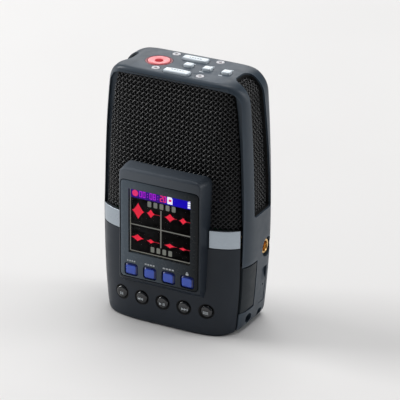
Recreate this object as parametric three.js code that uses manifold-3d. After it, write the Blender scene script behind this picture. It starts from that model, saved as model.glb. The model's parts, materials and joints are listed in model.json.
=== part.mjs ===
// Portable field recorder. Millimetres, +Z up. The origin is the bottom centre of the case, +Y points to
// the rear, and +X points to the viewer's right when the display is faced.
import * as THREE from 'three';
import Module from 'manifold-3d';
import { mergeVertices } from 'three/addons/utils/BufferGeometryUtils.js';

const wasm = await Module();
wasm.setup();

// ---- driving dimensions -----------------------------------------------------------------------------
const GAP = 0.3;                     // clearance between neighbouring pieces
const HEIGHT = 107.8;                // bottom to the flat top face
const HALF_WIDTH = 33.9;             // at the metal band, the widest level
const WIDEST_Z = 42;
const REAR_Y = 18.25;
const WIDEST_Y = 5;                  // depth position of the widest plan point
const TOP_CORNER = 8.5;              // corner radii in the front view
const BOTTOM_CORNER = 4.2;
const TOP_EDGE = 1.6;                  // front and rear edge radii at the top and bottom
const BOTTOM_EDGE = 1.5;
const WALL = 2.4;
const COVER_WALL = 2;
const SEAM_Y = -6.1;                 // the side panels end here and the front pieces begin
const REBATE_Y = -3.7;               // a rebate behind the front opening's lip takes the grille's edge
const REAR_SEAM_Y = 13;
const REAR_HALF = 25.4;              // half width of the rear opening
const OPENING_TOP = 104.8;
const BAND = { low: 38.9, high: 46.5, wall: 1.6 };
const GRILLE = { inset: 1.2, wall: 0.8 };
const LENS_Y = -17.95;               // front face of the display block
const LCD = { z: 45.6, active: 27.7, half: 15.9, low: 29.9, high: 62, front: -16.35, back: -14.1 };
const BLOCK = { half: 19.5, low: 10, high: 68.7, corner: 3, edge: 0.9, brow: 2.6 };
const RAMP = { top: 20.4, low: 11 };  // where the block's face slopes back into the lower cover
const LENS = { half: 17.7, low: 20.9, high: 63.5, corner: 1.6, thick: 1.2 };
const FUNCTION_KEY = { pitch: 8.57, z: 24.3, wide: 4.4, tall: 3.7, proud: 0.3, count: 4 };
const TRANSPORT_KEY = { pitch: 9.72, z: 10.9, radius: 2.75, hole: 3.3, count: 5 };
const RECORD_KEY = { x: -12.3, y: 4.4, radius: 4.75, ring: 5.5 };
const WIDE_KEY = { x: 0.5, wide: 11, deep: 4.3, frontY: -3.9, rearY: 11.4 };
const SMALL_KEY = { x: [1.1, 9.6, 18.1], y: 4.6, wide: 3.3, deep: 2.9 };
const INDICATOR = { x: 0.3, y: 5.5, spreadX: 9.95, spreadY: 8.85, radius: 1.75 };
const WINDOW = { low: 48.2, topX: 23.5, inset: 2.7 };
const WINDOW_DEPTH = { frontTop: -0.8, frontLow: 0.2, rearTop: 10.7, rearLow: 15.4 };
const JACK = { y: 12.3, z: 32.7, ring: 3.1, barrel: 2.3, bore: 1.8, dish: 4.3, dishFrom: 31.9, deep: 17.6 };
const DOOR = { rear: 4, low: 8.85, high: 29.9, pinX: 31, pinZ: 10.6, pinRadius: 1.45, wall: 1.7 };
const ROCKER = { y: 11, wide: 4, low: 8.2, high: 23.8, scoop: 8.7, scoopX: 40.9, scoopOffset: 5.6 };
const SWITCH = { y: 5.5, z: 17, wide: 3.2, tall: 6, travel: 3 };
const USB = { y: -2.3, z: 17.45, wide: 8.9, deep: 3.2 };
const CELL = { radius: 7.05, y: 6.6, z: [10.5, 25], half: 24.1, nub: 25.2 };
const TRIPOD = { y: -6.8, boss: 4.9, nut: 3.7, thread: 3.05, top: 7 };
const SPEAKER = { y: 4.5, z: 40, radius: 5.8, slotPitch: 2, slotHigh: 1 };
const STRAP = { inner: 28.1, back: 29.8, high: 3, frontLow: 3.6, rearLow: 1.6 };
const STRAP_HOLE = { front: [-1, 2.2], rear: [9, 12.2] };
const CAPSULE = { radius: 5, half: 3, z: 78, frontY: -1.6, rearY: 9.2, sideY: 3.7, sideZ: 89.6 };
const TRAY = { half: 27, front: -1.2, low: 4.9, high: 32.5, pocketHalf: 26.3 };
const CARD = { inner: 15.3, outer: 29.8, low: 14.1, high: 25.1, y: -3.1, thick: 0.7 };
const UNDER_TOP = HEIGHT - WALL;     // inner face of the top wall
const TOP_BOARD = { half: 21, front: -4, rear: 12.4, z: HEIGHT - 7.5, thick: 1.2 };
const KEY_BOARD = { half: 23.5, low: 5.2, high: 38, front: -8.9, thick: 1 };
const MAIN_BOARD = { half: 27.4, low: 8.6, high: 45, front: -5.4, thick: 1.2 };
const CASE_SEGMENTS = 36;
const ROUND = 12;                    // sides of a small round piece
const FINE_ROUND = 20;               // sides of a larger one
const FAR = 60;                      // beyond the case in every sideways direction
const ABOVE = 200;                   // beyond its top
const SIDE_CUT = 26;                 // openings in the side walls are cut from here outwards

// ---- geometry helpers -------------------------------------------------------------------------------
function toSolid(geometry) {
  const plain = geometry.clone();
  plain.deleteAttribute('normal');
  plain.deleteAttribute('uv');
  const merged = mergeVertices(plain, 1e-4);
  const index = merged.index.array;
  const kept = [];
  for (let i = 0; i < index.length; i += 3) {
    const [a, b, c] = [index[i], index[i + 1], index[i + 2]];
    if (a !== b && b !== c && c !== a) kept.push(a, b, c);
  }
  const vertProperties = new Float32Array(merged.attributes.position.array);
  return new wasm.Manifold(new wasm.Mesh({ numProp: 3, vertProperties, triVerts: new Uint32Array(kept) }));
}

function toGeometry(solid) {
  const mesh = solid.getMesh();
  const geometry = new THREE.BufferGeometry();
  geometry.setAttribute('position', new THREE.BufferAttribute(mesh.vertProperties, 3));
  geometry.setIndex(new THREE.BufferAttribute(mesh.triVerts, 1));
  geometry.computeVertexNormals();
  return geometry;
}

function union(...solids) {
  return solids.reduce((whole, piece) => whole.add(piece));
}

function cut(solid, ...cutters) {
  return cutters.reduce((left, cutter) => left.subtract(cutter), solid);
}

function block(x, y, z) {
  const geometry = new THREE.BoxGeometry(x[1] - x[0], y[1] - y[0], z[1] - z[0]);
  geometry.translate((x[0] + x[1]) / 2, (y[0] + y[1]) / 2, (z[0] + z[1]) / 2);
  return toSolid(geometry);
}

// A turned piece about the given axis. Profile pairs are [radius, distance along the axis].
function turned(axis, centre, profile, sides = ROUND) {
  const geometry = new THREE.LatheGeometry(profile.map(([r, s]) => new THREE.Vector2(r, s)), sides);
  if (axis === 'x') geometry.rotateZ(-Math.PI / 2);
  if (axis === 'z') geometry.rotateX(Math.PI / 2);
  geometry.translate(...centre);
  return toSolid(geometry);
}

function rod(axis, centre, radius, from, to, sides = ROUND) {
  return turned(axis, centre, [[0, from], [radius, from], [radius, to], [0, to]], sides);
}

// An outline extruded along one axis. Outline points are (x, z) for Y, (y, z) for X and (x, y) for Z.
function prism(axis, shape, from, to, curveSegments = 3) {
  const options = { depth: to - from, bevelEnabled: false, curveSegments };
  const geometry = new THREE.ExtrudeGeometry(shape, options);
  if (axis === 'z') geometry.translate(0, 0, from);
  if (axis === 'y') {
    geometry.rotateX(Math.PI / 2);
    geometry.translate(0, to, 0);
  }
  if (axis === 'x') {
    geometry.applyMatrix4(new THREE.Matrix4().set(0, 0, 1, from, 1, 0, 0, 0, 0, 1, 0, 0, 0, 0, 0, 1));
  }
  return toSolid(geometry);
}

function roundedRect(halfU, lowV, highV, radius, centreU = 0) {
  const [left, right] = [centreU - halfU, centreU + halfU];
  const shape = new THREE.Shape();
  shape.moveTo(left + radius, lowV);
  shape.lineTo(right - radius, lowV);
  shape.absarc(right - radius, lowV + radius, radius, -Math.PI / 2, 0, false);
  shape.lineTo(right, highV - radius);
  shape.absarc(right - radius, highV - radius, radius, 0, Math.PI / 2, false);
  shape.lineTo(left + radius, highV);
  shape.absarc(left + radius, highV - radius, radius, Math.PI / 2, Math.PI, false);
  shape.lineTo(left, lowV + radius);
  shape.absarc(left + radius, lowV + radius, radius, Math.PI, 1.5 * Math.PI, false);
  return shape;
}

function polygon(points) {
  return new THREE.Shape(points.map(([u, v]) => new THREE.Vector2(u, v)));
}

function smooth(t) {
  const k = Math.min(1, Math.max(0, t));
  return k * k * (3 - 2 * k);
}

// ---- the outer form of the case ---------------------------------------------------------------------
function sideHalf(z) {
  if (z > WIDEST_Z) return HALF_WIDTH - 2.2 * ((z - WIDEST_Z) / 56) ** 2;
  return HALF_WIDTH - 2.6 * ((WIDEST_Z - z) / WIDEST_Z) ** 1.8;
}

function frontAt(z) {
  const lean = 5 * Math.max(0, (z - 46) / (HEIGHT - 46));
  const belly = 1.3 * smooth((38 - z) / 24);
  return LENS_Y + 4.45 + lean - belly;
}

function edgeLoss(radius, distance) {
  if (distance >= radius) return 0;
  return radius - Math.sqrt(Math.max(0, radius ** 2 - (radius - distance) ** 2));
}

// Half width, front and rear depth, and the two plan exponents at height z, on a form shrunk by inset.
function sectionAt(z, inset) {
  const above = Math.max(0, z - inset);
  const below = Math.max(0, HEIGHT - inset - z);
  const topLoss = edgeLoss(Math.max(0.6, TOP_CORNER - inset), below);
  const bottomLoss = edgeLoss(Math.max(0.6, BOTTOM_CORNER - inset), above);
  const edge = edgeLoss(Math.max(0.5, TOP_EDGE - inset), below)
    + edgeLoss(Math.max(0.5, BOTTOM_EDGE - inset), above);
  return {
    half: sideHalf(z) - inset - topLoss - bottomLoss,
    front: WIDEST_Y - (frontAt(z) + inset + edge),
    rear: REAR_Y - inset - edge - WIDEST_Y,
    frontPower: 3.3 + 0.8 * smooth((z - 50) / 48) + 0.6 * topLoss + 0.5 * bottomLoss,
    rearPower: 10,
  };
}

function ringHeights(inset) {
  const top = Math.max(0.6, TOP_CORNER - inset);
  const bottom = Math.max(0.6, BOTTOM_CORNER - inset);
  const arc = [0, 22, 45, 68, 90].map((degrees) => 1 - Math.cos(THREE.MathUtils.degToRad(degrees)));
  const low = arc.map((part) => inset + bottom * part);
  const high = arc.map((part) => HEIGHT - inset - top * part).reverse();
  return [...low, 14, 26, 38, 52, 76, ...high];
}

function caseForm(inset) {
  const heights = ringHeights(inset);
  const [lowest, highest] = [heights[0], heights[heights.length - 1]];
  const profile = [[0, lowest], ...heights.map((z) => [1, z]), [0, highest]];
  const points = profile.map(([r, z]) => new THREE.Vector2(r, z));
  const geometry = new THREE.LatheGeometry(points, CASE_SEGMENTS);
  geometry.rotateX(Math.PI / 2);
  const position = geometry.attributes.position;
  for (let i = 0; i < position.count; i += 1) {
    const [u, v] = [position.getX(i), position.getY(i)].map((part) => (Math.abs(part) < 1e-9 ? 0 : part));
    const z = position.getZ(i);
    const section = sectionAt(z, inset);
    const power = 2 / (v < 0 ? section.frontPower : section.rearPower);
    const reach = v < 0 ? -section.front : section.rear;
    const onAxis = Math.hypot(u, v) < 0.5;
    const x = onAxis ? 0 : Math.sign(u) * section.half * Math.abs(u) ** power;
    const y = onAxis ? WIDEST_Y : WIDEST_Y + reach * Math.abs(v) ** power;
    position.setXYZ(i, x, y, z);
  }
  return toSolid(geometry);
}

// Depth of the front surface at a point of the front view.
function frontSurface(x, z) {
  const section = sectionAt(z, 0);
  const part = 1 - (Math.abs(x) / section.half) ** section.frontPower;
  return WIDEST_Y - section.front * part ** (1 / section.frontPower);
}

function shell(outerInset, innerInset) {
  return caseForm(outerInset).subtract(caseForm(innerInset));
}

// Front view of the front opening, shrunk by inset.
function openingOutline(inset, top, corner) {
  const heights = [-4, 8, 20, 30, WIDEST_Z, 60, 78, top - corner];
  const shape = new THREE.Shape();
  shape.moveTo(sideHalf(heights[0]) - inset, heights[0]);
  heights.slice(1).forEach((z) => shape.lineTo(sideHalf(z) - inset, z));
  const arcX = sideHalf(top - corner) - inset - corner;
  shape.absarc(arcX, top - corner, corner, 0, Math.PI / 2, false);
  shape.absarc(-arcX, top - corner, corner, Math.PI / 2, Math.PI, false);
  [...heights].reverse().forEach((z) => shape.lineTo(-(sideHalf(z) - inset), z));
  return shape;
}

// Side view of a side window, grown by margin.
function windowRegion(side, margin) {
  const shape = polygon([
    [WINDOW_DEPTH.frontLow - margin, WINDOW.low - margin],
    [WINDOW_DEPTH.rearLow + margin, WINDOW.low - margin],
    [WINDOW_DEPTH.rearTop + margin, HEIGHT + 2],
    [WINDOW_DEPTH.frontTop - margin, HEIGHT + 2],
  ]);
  const from = WINDOW.topX - margin;
  return prism('x', shape, side > 0 ? from : -FAR, side > 0 ? FAR : -from);
}

function slab(low, high) {
  return block([-FAR, FAR], [-FAR, FAR], [low, high]);
}

const outerForm = caseForm(0);

// ---- the case ---------------------------------------------------------------------------------------
function keyOutline(x, y, wide, deep, grow = 0, radius = 0.7) {
  return roundedRect(wide / 2 + grow, y - deep / 2 - grow, y + deep / 2 + grow, radius + grow, x);
}

// The wide keys bow towards the middle of the top face.
function wideOutline(y, towards, grow = 0) {
  const [half, deep] = [WIDE_KEY.wide / 2 + grow, WIDE_KEY.deep / 2 + grow];
  const shape = new THREE.Shape();
  const outer = y - towards * deep;
  const inner = y + towards * (deep - 1);
  shape.moveTo(WIDE_KEY.x - half, outer);
  shape.lineTo(WIDE_KEY.x + half, outer);
  shape.lineTo(WIDE_KEY.x + half, inner);
  shape.quadraticCurveTo(WIDE_KEY.x, y + towards * (deep + 1), WIDE_KEY.x - half, inner);
  return shape;
}

function topHoles() {
  const [low, high] = [HEIGHT - WALL - 4, HEIGHT + 4];
  const small = SMALL_KEY.x.map((x) => keyOutline(x, SMALL_KEY.y, SMALL_KEY.wide, SMALL_KEY.deep, GAP));
  const wide = [wideOutline(WIDE_KEY.frontY, 1, GAP), wideOutline(WIDE_KEY.rearY, -1, GAP)];
  const outlines = [...small, ...wide].map((shape) => prism('z', shape, low, high, 4));
  const ring = rod('z', [RECORD_KEY.x, RECORD_KEY.y, 0], RECORD_KEY.ring + 0.25, low, high, FINE_ROUND);
  const pipeRadius = INDICATOR.radius + GAP / 2;
  const pipes = indicatorPlaces().map((place) => rod('z', [...place, 0], pipeRadius, low, high));
  return [...outlines, ring, ...pipes];
}

function indicatorPlaces() {
  const places = [];
  for (const back of [-1, 1]) {
    for (const side of [-1, 1]) {
      places.push([INDICATOR.x + side * INDICATOR.spreadX, INDICATOR.y + back * INDICATOR.spreadY]);
    }
  }
  return places;
}

function jackHoles(side) {
  const centre = [0, JACK.y, JACK.z];
  const span = (from) => (side > 0 ? [from, FAR] : [-FAR, -from]);
  return [
    rod('x', centre, JACK.dish, ...span(JACK.dishFrom), FINE_ROUND),
    rod('x', centre, JACK.ring + 0.2, ...span(SIDE_CUT), 16),
  ];
}

// Two eyelet holes in the lower right corner, with a sloping passage behind the bridge between them.
function strapTunnel() {
  const { inner, back, high, frontLow, rearLow } = STRAP;
  const { front, rear } = STRAP_HOLE;
  const passage = polygon([
    [front[0], frontLow],
    [rear[1], rearLow],
    [rear[1], rearLow + high],
    [front[0], frontLow + high],
  ]);
  return [
    prism('x', passage, inner, back),
    block([inner, FAR], front, [frontLow, frontLow + high]),
    block([inner, FAR], rear, [rearLow, rearLow + high]),
  ];
}

function speakerSlots() {
  return [-2, -1, 0, 1, 2].map((step) => {
    const half = step % 2 ? 3.2 : 4;
    const low = SPEAKER.z + step * SPEAKER.slotPitch - SPEAKER.slotHigh / 2;
    return block([-FAR, -SIDE_CUT], [SPEAKER.y - half, SPEAKER.y + half], [low, low + SPEAKER.slotHigh]);
  });
}

function mainFrame() {
  const strapBlock = block([STRAP.inner - 0.7, FAR], [-2, 13.4], [0.5, 7.4]).intersect(outerForm);
  const boss = rod('z', [0, TRIPOD.y, 0], TRIPOD.boss, 0, TRIPOD.top, FINE_ROUND);
  const body = union(cut(outerForm, caseForm(WALL)), strapBlock);
  const opened = cut(
    body,
    prism('y', openingOutline(1.3, OPENING_TOP, 7), -FAR, SEAM_Y),
    prism('y', openingOutline(2, OPENING_TOP, 6.6), -FAR, REBATE_Y),
    prism('y', roundedRect(REAR_HALF, -20, OPENING_TOP, 6), REAR_SEAM_Y, FAR),
    windowRegion(1, 0),
    windowRegion(-1, 0),
  );
  const screwHoles = screwPlaces().flatMap(([x, y]) => [
    rod('z', [x, y, 0], 2.2, -1, 1.6),
    rod('z', [x, y, 0], 1.1, -1, 4),
  ]);
  const outside = [-FAR, -JACK.dishFrom];
  const through = [-FAR, -SIDE_CUT];
  return cut(
    union(opened, boss),
    rod('z', [0, TRIPOD.y, 0], TRIPOD.nut + GAP, -1, TRIPOD.top - 0.8, FINE_ROUND),
    ...topHoles(),
    ...jackHoles(1),
    ...jackHoles(-1),
    ...strapTunnel(),
    ...speakerSlots(),
    block([SIDE_CUT, FAR], [SEAM_Y - 1, DOOR.rear], [DOOR.low, DOOR.high]),
    block([SIDE_CUT, FAR], [ROCKER.y - 2.3, ROCKER.y + 2.3], [ROCKER.low - GAP, ROCKER.high + GAP]),
    prism('x', keyOutline(USB.y, USB.z, USB.deep + 0.5, USB.wide + 0.5, 0, 1.7), -FAR, -SIDE_CUT),
    block(outside, [SWITCH.y - 1.9, SWITCH.y + 1.9], [SWITCH.z - 3.4, SWITCH.z + SWITCH.travel + 3.4]),
    block(through, [SWITCH.y - 0.9, SWITCH.y + 0.9], [SWITCH.z - 1.3, SWITCH.z + SWITCH.travel + 1.3]),
    ...screwHoles,
  );
}

// ---- front pieces -----------------------------------------------------------------------------------
function frontRegion(low, high, wallInset) {
  const region = block([-FAR, FAR], [-FAR, SEAM_Y - GAP], [low, high]);
  return shell(0, wallInset).intersect(region);
}

// The raised display housing: a rounded block whose face ramps back into the lower cover.
function displayBlock() {
  const face = roundedRect(BLOCK.half, BLOCK.low, BLOCK.high, BLOCK.corner);
  const options = {
    depth: 12,
    bevelSize: BLOCK.edge,
    bevelThickness: BLOCK.edge,
    bevelOffset: -BLOCK.edge,
    bevelSegments: 2,
    curveSegments: 4,
  };
  const geometry = new THREE.ExtrudeGeometry(face, options);
  geometry.rotateX(Math.PI / 2);
  geometry.translate(0, LENS_Y + BLOCK.edge + options.depth, 0);
  const ramp = frontSurface(0, RAMP.low) + 0.2;
  const slope = [0, 0.25, 0.5, 0.75, 1].map((part) => [
    THREE.MathUtils.lerp(LENS_Y, ramp, smooth(part)),
    THREE.MathUtils.lerp(RAMP.top, RAMP.low, part),
  ]);
  const profile = polygon([
    [LENS_Y, BLOCK.high - BLOCK.brow],
    ...slope,
    [0, RAMP.low],
    [0, BLOCK.high],
    [LENS_Y + BLOCK.brow, BLOCK.high],
    [LENS_Y + BLOCK.brow * 0.3, BLOCK.high - BLOCK.brow * 0.3],
  ]);
  return toSolid(geometry).intersect(prism('x', profile, -FAR, FAR));
}

function functionPlaces() {
  return Array.from({ length: FUNCTION_KEY.count }, (_, i) => (i - 1.5) * FUNCTION_KEY.pitch);
}

function transportPlaces() {
  return Array.from({ length: TRANSPORT_KEY.count }, (_, i) => {
    const x = (i - 2) * TRANSPORT_KEY.pitch;
    return [x, frontSurface(x, TRANSPORT_KEY.z)];
  });
}

function functionCuts(grow, from, to) {
  const { z, wide, tall } = FUNCTION_KEY;
  return functionPlaces().map((x) => {
    const shape = roundedRect(wide / 2 + grow, z - tall / 2 - grow, z + tall / 2 + grow, 0.8, x);
    return prism('y', shape, from, to, 3);
  });
}

function frontCover() {
  const clearOfGrille = caseForm(GRILLE.inset - GAP);
  const lower = frontRegion(-1, BAND.low - GAP, COVER_WALL);
  const bosses = boardScrewPlaces().map(([x, z]) => rod('y', [x, 0, z], 2.2, -11.6, KEY_BOARD.front - GAP));
  const body = union(lower, cut(displayBlock(), clearOfGrille), ...bosses);
  const recess = roundedRect(LENS.half + GAP, LENS.low - GAP, LENS.high + GAP, LENS.corner + GAP);
  const lcdSpan = [-LCD.half - GAP, LCD.half + GAP];
  const lcdPocket = block(lcdSpan, [LENS_Y - 1, LCD.back + 0.2], [LCD.low - GAP, LCD.high + GAP]);
  const keyPocket = block([-17, 17], [-15.6, -8], [FUNCTION_KEY.z - 2.9, FUNCTION_KEY.z + 2.9]);
  const transport = transportPlaces().flatMap(([x, y]) => [
    rod('y', [x, 0, TRANSPORT_KEY.z], TRANSPORT_KEY.hole, -FAR, -6, 16),
    rod('y', [x, 0, TRANSPORT_KEY.z], 4.15, y + 1.3, -6, 16),
  ]);
  return cut(
    body,
    prism('y', recess, LENS_Y - 1, LENS_Y + LENS.thick + GAP),
    lcdPocket,
    keyPocket,
    ...functionCuts(0.5, -FAR, -14.5),
    ...transport,
    ...boardScrewPlaces().map(([x, z]) => rod('y', [x, 0, z], 1.1, -11.1, 0)),
    rod('z', [0, TRIPOD.y, 0], TRIPOD.boss + GAP, -1, TRIPOD.top + 2, FINE_ROUND),
  );
}

function displayLens() {
  const face = roundedRect(LENS.half, LENS.low, LENS.high, LENS.corner);
  const plate = prism('y', face, LENS_Y, LENS_Y + LENS.thick);
  return cut(plate, ...functionCuts(0.55, -FAR, 0));
}

function functionKey(x) {
  const { z, wide, tall, proud } = FUNCTION_KEY;
  const cap = roundedRect(wide / 2, z - tall / 2, z + tall / 2, 0.7, x);
  const flange = roundedRect(wide / 2 + 1, z - tall / 2 - 0.7, z + tall / 2 + 0.7, 0.5, x);
  return union(
    prism('y', cap, LENS_Y - proud, -14.5, 3),
    prism('y', flange, -15.3, -14.5, 1),
    rod('y', [x, 0, z], 1, -14.7, -11.1, 6),
  );
}

function transportKey([x, y]) {
  const radius = TRANSPORT_KEY.radius;
  const crown = [0, 0.5, 0.85].map((part) => [radius * part, y - 0.55 + 0.45 * part ** 2]);
  const profile = [
    ...crown,
    [radius, y + 0.2],
    [radius, y + 1.6],
    [3.9, y + 1.6],
    [3.9, y + 2.4],
    [1.2, y + 2.4],
    [1.2, -10.1],
    [0, -10.1],
  ];
  return turned('y', [x, 0, TRANSPORT_KEY.z], profile, 14);
}

function frontBand(side) {
  const span = side > 0 ? [BLOCK.half + GAP, FAR] : [-FAR, -BLOCK.half - GAP];
  return frontRegion(BAND.low, BAND.high, BAND.wall).intersect(block(span, [-FAR, 0], [0, ABOVE]));
}

function frontGrille() {
  const skin = shell(GRILLE.inset, GRILLE.inset + GRILLE.wall);
  const outline = prism('y', openingOutline(2.3, OPENING_TOP - GAP, 6.4), -FAR, REBATE_Y - GAP);
  return skin.intersect(outline).intersect(slab(BAND.high + GAP, ABOVE));
}

// ---- rear and side pieces ---------------------------------------------------------------------------
function rearRegion(solid, low, high) {
  const half = REAR_HALF - GAP;
  const outline = prism('y', roundedRect(half, -20, OPENING_TOP - GAP, 5.8), REAR_SEAM_Y + GAP, FAR);
  return solid.intersect(outline).intersect(slab(low, high));
}

function rearGrille() {
  return rearRegion(shell(GRILLE.inset, GRILLE.inset + GRILLE.wall), BAND.high + GAP, ABOVE);
}

function rearBand() {
  return rearRegion(shell(0, BAND.wall), BAND.low, BAND.high);
}

// The battery cover has a grip of sunk grooves near its top edge.
function batteryCover() {
  const panel = rearRegion(shell(0, 1.8), -1, BAND.low - GAP);
  const [pitch, tall] = [1.9, 0.9];
  const lows = [0, 1, 2, 3].map((i) => 28 + i * pitch);
  return cut(panel, ...lows.map((low) => block([-7, 7], [REAR_Y - 0.5, FAR], [low, low + tall])));
}

function sideGrille(side) {
  return shell(WINDOW.inset, WINDOW.inset + GRILLE.wall).intersect(windowRegion(side, 1));
}

// ---- top pieces -------------------------------------------------------------------------------------
function recordKey() {
  const { x, y, radius } = RECORD_KEY;
  const profile = [
    [0, UNDER_TOP - 2.8],
    [1.6, UNDER_TOP - 2.8],
    [1.6, UNDER_TOP - 1.2],
    [6.2, UNDER_TOP - 1.2],
    [6.2, UNDER_TOP - 0.4],
    [radius, UNDER_TOP - 0.4],
    [radius, HEIGHT + 0.5],
    [radius - 0.35, HEIGHT + 0.8],
    [1.7, HEIGHT + 0.6],
    [1.4, HEIGHT + 0.85],
    [0, HEIGHT + 0.95],
  ];
  return turned('z', [x, y, 0], profile, FINE_ROUND);
}

function recordRing() {
  const [inner, outer] = [RECORD_KEY.radius + 0.2, RECORD_KEY.ring];
  const low = UNDER_TOP + 0.1;
  const profile = [[inner, low], [outer, low], [outer, HEIGHT - 0.1], [inner, HEIGHT - 0.3], [inner, low]];
  return turned('z', [RECORD_KEY.x, RECORD_KEY.y, 0], profile, FINE_ROUND);
}

// A top key: its cap, a flange that stops it under the top face, and the stem that presses its switch.
function topKey(cap, flange, [x, y], rise) {
  return union(
    prism('z', cap, UNDER_TOP - 1.1, HEIGHT + rise, 2),
    prism('z', flange, UNDER_TOP - 1.1, UNDER_TOP - GAP, 1),
    rod('z', [x, y, 0], 0.9, UNDER_TOP - 2.8, UNDER_TOP - 0.9, 6),
  );
}

function wideKey(y, towards) {
  const half = WIDE_KEY.wide / 2 + 0.9;
  const flange = roundedRect(half, y - 1.9, y + 1.9, 0.4, WIDE_KEY.x);
  return topKey(wideOutline(y, towards), flange, [WIDE_KEY.x, y], 1);
}

function smallKey(x) {
  const { y, wide, deep } = SMALL_KEY;
  const flange = keyOutline(x, y, wide, deep, 0.8, 0.4);
  return topKey(keyOutline(x, y, wide, deep, 0, 0.8), flange, [x, y], 1);
}

function indicator([x, y]) {
  const { radius } = INDICATOR;
  const profile = [
    [0, UNDER_TOP - 0.5],
    [radius, UNDER_TOP - 0.5],
    [radius, HEIGHT + 0.1],
    [0.8, HEIGHT + 0.1],
    [0.7, HEIGHT - 0.25],
    [0, HEIGHT - 0.25],
  ];
  return turned('z', [x, y, 0], profile);
}

// ---- side controls and sockets ----------------------------------------------------------------------
function cardDoor() {
  const skin = shell(0, DOOR.wall);
  const front = SEAM_Y + 0.1;
  const panel = block([SIDE_CUT, FAR], [front, DOOR.rear - GAP], [DOOR.pinZ, DOOR.high - GAP]);
  const hingeEnd = rod('y', [DOOR.pinX, 0, DOOR.pinZ], DOOR.pinRadius, front, DOOR.rear - GAP);
  return skin.intersect(union(panel, hingeEnd));
}

// A rocker with a scooped finger rest at each end and a small pip between them.
function volumeRocker() {
  const [front, rear] = [ROCKER.y - ROCKER.wide / 2, ROCKER.y + ROCKER.wide / 2];
  const body = shell(0.1, 2).intersect(block([SIDE_CUT, FAR], [front, rear], [ROCKER.low, ROCKER.high]));
  const middle = (ROCKER.low + ROCKER.high) / 2;
  const centres = [-1, 1].map((side) => [ROCKER.scoopX, 0, middle + side * ROCKER.scoopOffset]);
  const scoops = centres.map((centre) => rod('y', centre, ROCKER.scoop, 0, FAR, 40));
  return cut(body, ...scoops);
}

function powerSwitch() {
  const { y, z, wide, tall } = SWITCH;
  const knob = block([-32.7, -32.2], [y - wide / 2, y + wide / 2], [z - tall / 2, z + tall / 2]);
  const rib = (middle) => block([-33.1, -32.6], [y - 1.2, y + 1.2], [middle - 0.4, middle + 0.4]);
  const ribs = [z - 2, z, z + 2].map(rib);
  const stem = block([-32.4, -29.5], [y - 0.6, y + 0.6], [z - 1, z + 1]);
  const plate = block([-29.9, -29.2], [y - 2.2, y + 2.2], [z - 3, z + 3]);
  return union(knob, ...ribs, stem, plate);
}

function jack(side) {
  const { ring, barrel, bore, deep } = JACK;
  const [shoulder, rim] = [28.6, 32.8];
  const profile = [
    [0, deep],
    [barrel, deep],
    [barrel, shoulder],
    [ring, shoulder],
    [ring, rim - 0.3],
    [ring - 0.3, rim],
    [bore + 0.2, rim],
    [bore, rim - 0.3],
    [bore, deep + 1],
    [0, deep + 1],
  ];
  const body = turned('x', [0, JACK.y, JACK.z], profile, 16);
  return side > 0 ? body : body.mirror([1, 0, 0]);
}

function usbSocket() {
  const stadium = (wide, deep) => keyOutline(USB.y, USB.z, deep, wide, 0, deep / 2 - 0.05);
  return union(
    cut(prism('x', stadium(USB.wide, USB.deep), -31.2, -23.8), prism('x', stadium(8.3, 2.6), -33, -24.6)),
    prism('x', roundedRect(0.35, USB.z - 3.3, USB.z + 3.3, 0.2, USB.y), -30.4, -24.2),
  );
}

function cardSocket() {
  const { inner, low, high, y } = CARD;
  const housing = block([inner - 1.5, 28.2], [y - 0.8, y + 0.8], [low - 1, high + 1]);
  const slot = block([inner - 0.3, 29], [y - 0.5, y + 0.5], [low - 0.2, high + 0.2]);
  return cut(housing, slot);
}

// A memory card with the step of its long edge.
function memoryCard() {
  const { inner, outer, low, high, y, thick } = CARD;
  const step = high - 1.7;
  const notch = [[outer, step], [24, step], [22.8, high]];
  const outline = polygon([[inner, low], [outer, low], ...notch, [inner, high]]);
  return prism('y', outline, y - thick / 2, y + thick / 2);
}

// ---- inside -----------------------------------------------------------------------------------------
function boardScrewPlaces() {
  return [[-20.8, 33.4], [20.8, 33.4]];
}

function screwPlaces() {
  return [[-18, -2.7], [18, -2.7]];
}

function keyBoard() {
  const { half, low, high, front, thick } = KEY_BOARD;
  const plate = block([-half, half], [front, front + thick], [low, high]);
  const holes = boardScrewPlaces().map(([x, z]) => rod('y', [x, 0, z], 1.2, -FAR, 0));
  const bossNotch = rod('z', [0, TRIPOD.y, 0], TRIPOD.boss + GAP, -1, TRIPOD.top + GAP, FINE_ROUND);
  return cut(plate, ...holes, bossNotch);
}

function mainBoard() {
  const { half, low, high, front, thick } = MAIN_BOARD;
  return block([-half, half], [front, front + thick], [low, high]);
}

function topBoard() {
  const { half, front, rear, z, thick } = TOP_BOARD;
  const plate = block([-half, half], [front, rear], [z, z + thick]);
  return cut(plate, rod('z', [0, 3.5, 0], 3, z - 1, z + 2 * thick));
}

function lcdModule() {
  const frame = block([-LCD.half, LCD.half], [LCD.front, LCD.back], [LCD.low, LCD.high]);
  const half = LCD.active / 2;
  return cut(frame, block([-half, half], [-FAR, LCD.front + 0.2], [LCD.z - half, LCD.z + half]));
}

// A cell lies across the case. Its positive nub points towards the given side.
function cell(z, side) {
  const profile = [
    [0, -CELL.half],
    [CELL.radius - 0.6, -CELL.half],
    [CELL.radius, -CELL.half + 0.5],
    [CELL.radius, CELL.half - 0.5],
    [CELL.radius - 0.8, CELL.half],
    [2.7, CELL.half],
    [2.7, CELL.nub],
    [0, CELL.nub],
  ];
  const body = turned('x', [0, CELL.y, z], profile, FINE_ROUND);
  return side > 0 ? body : body.mirror([1, 0, 0]);
}

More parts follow.
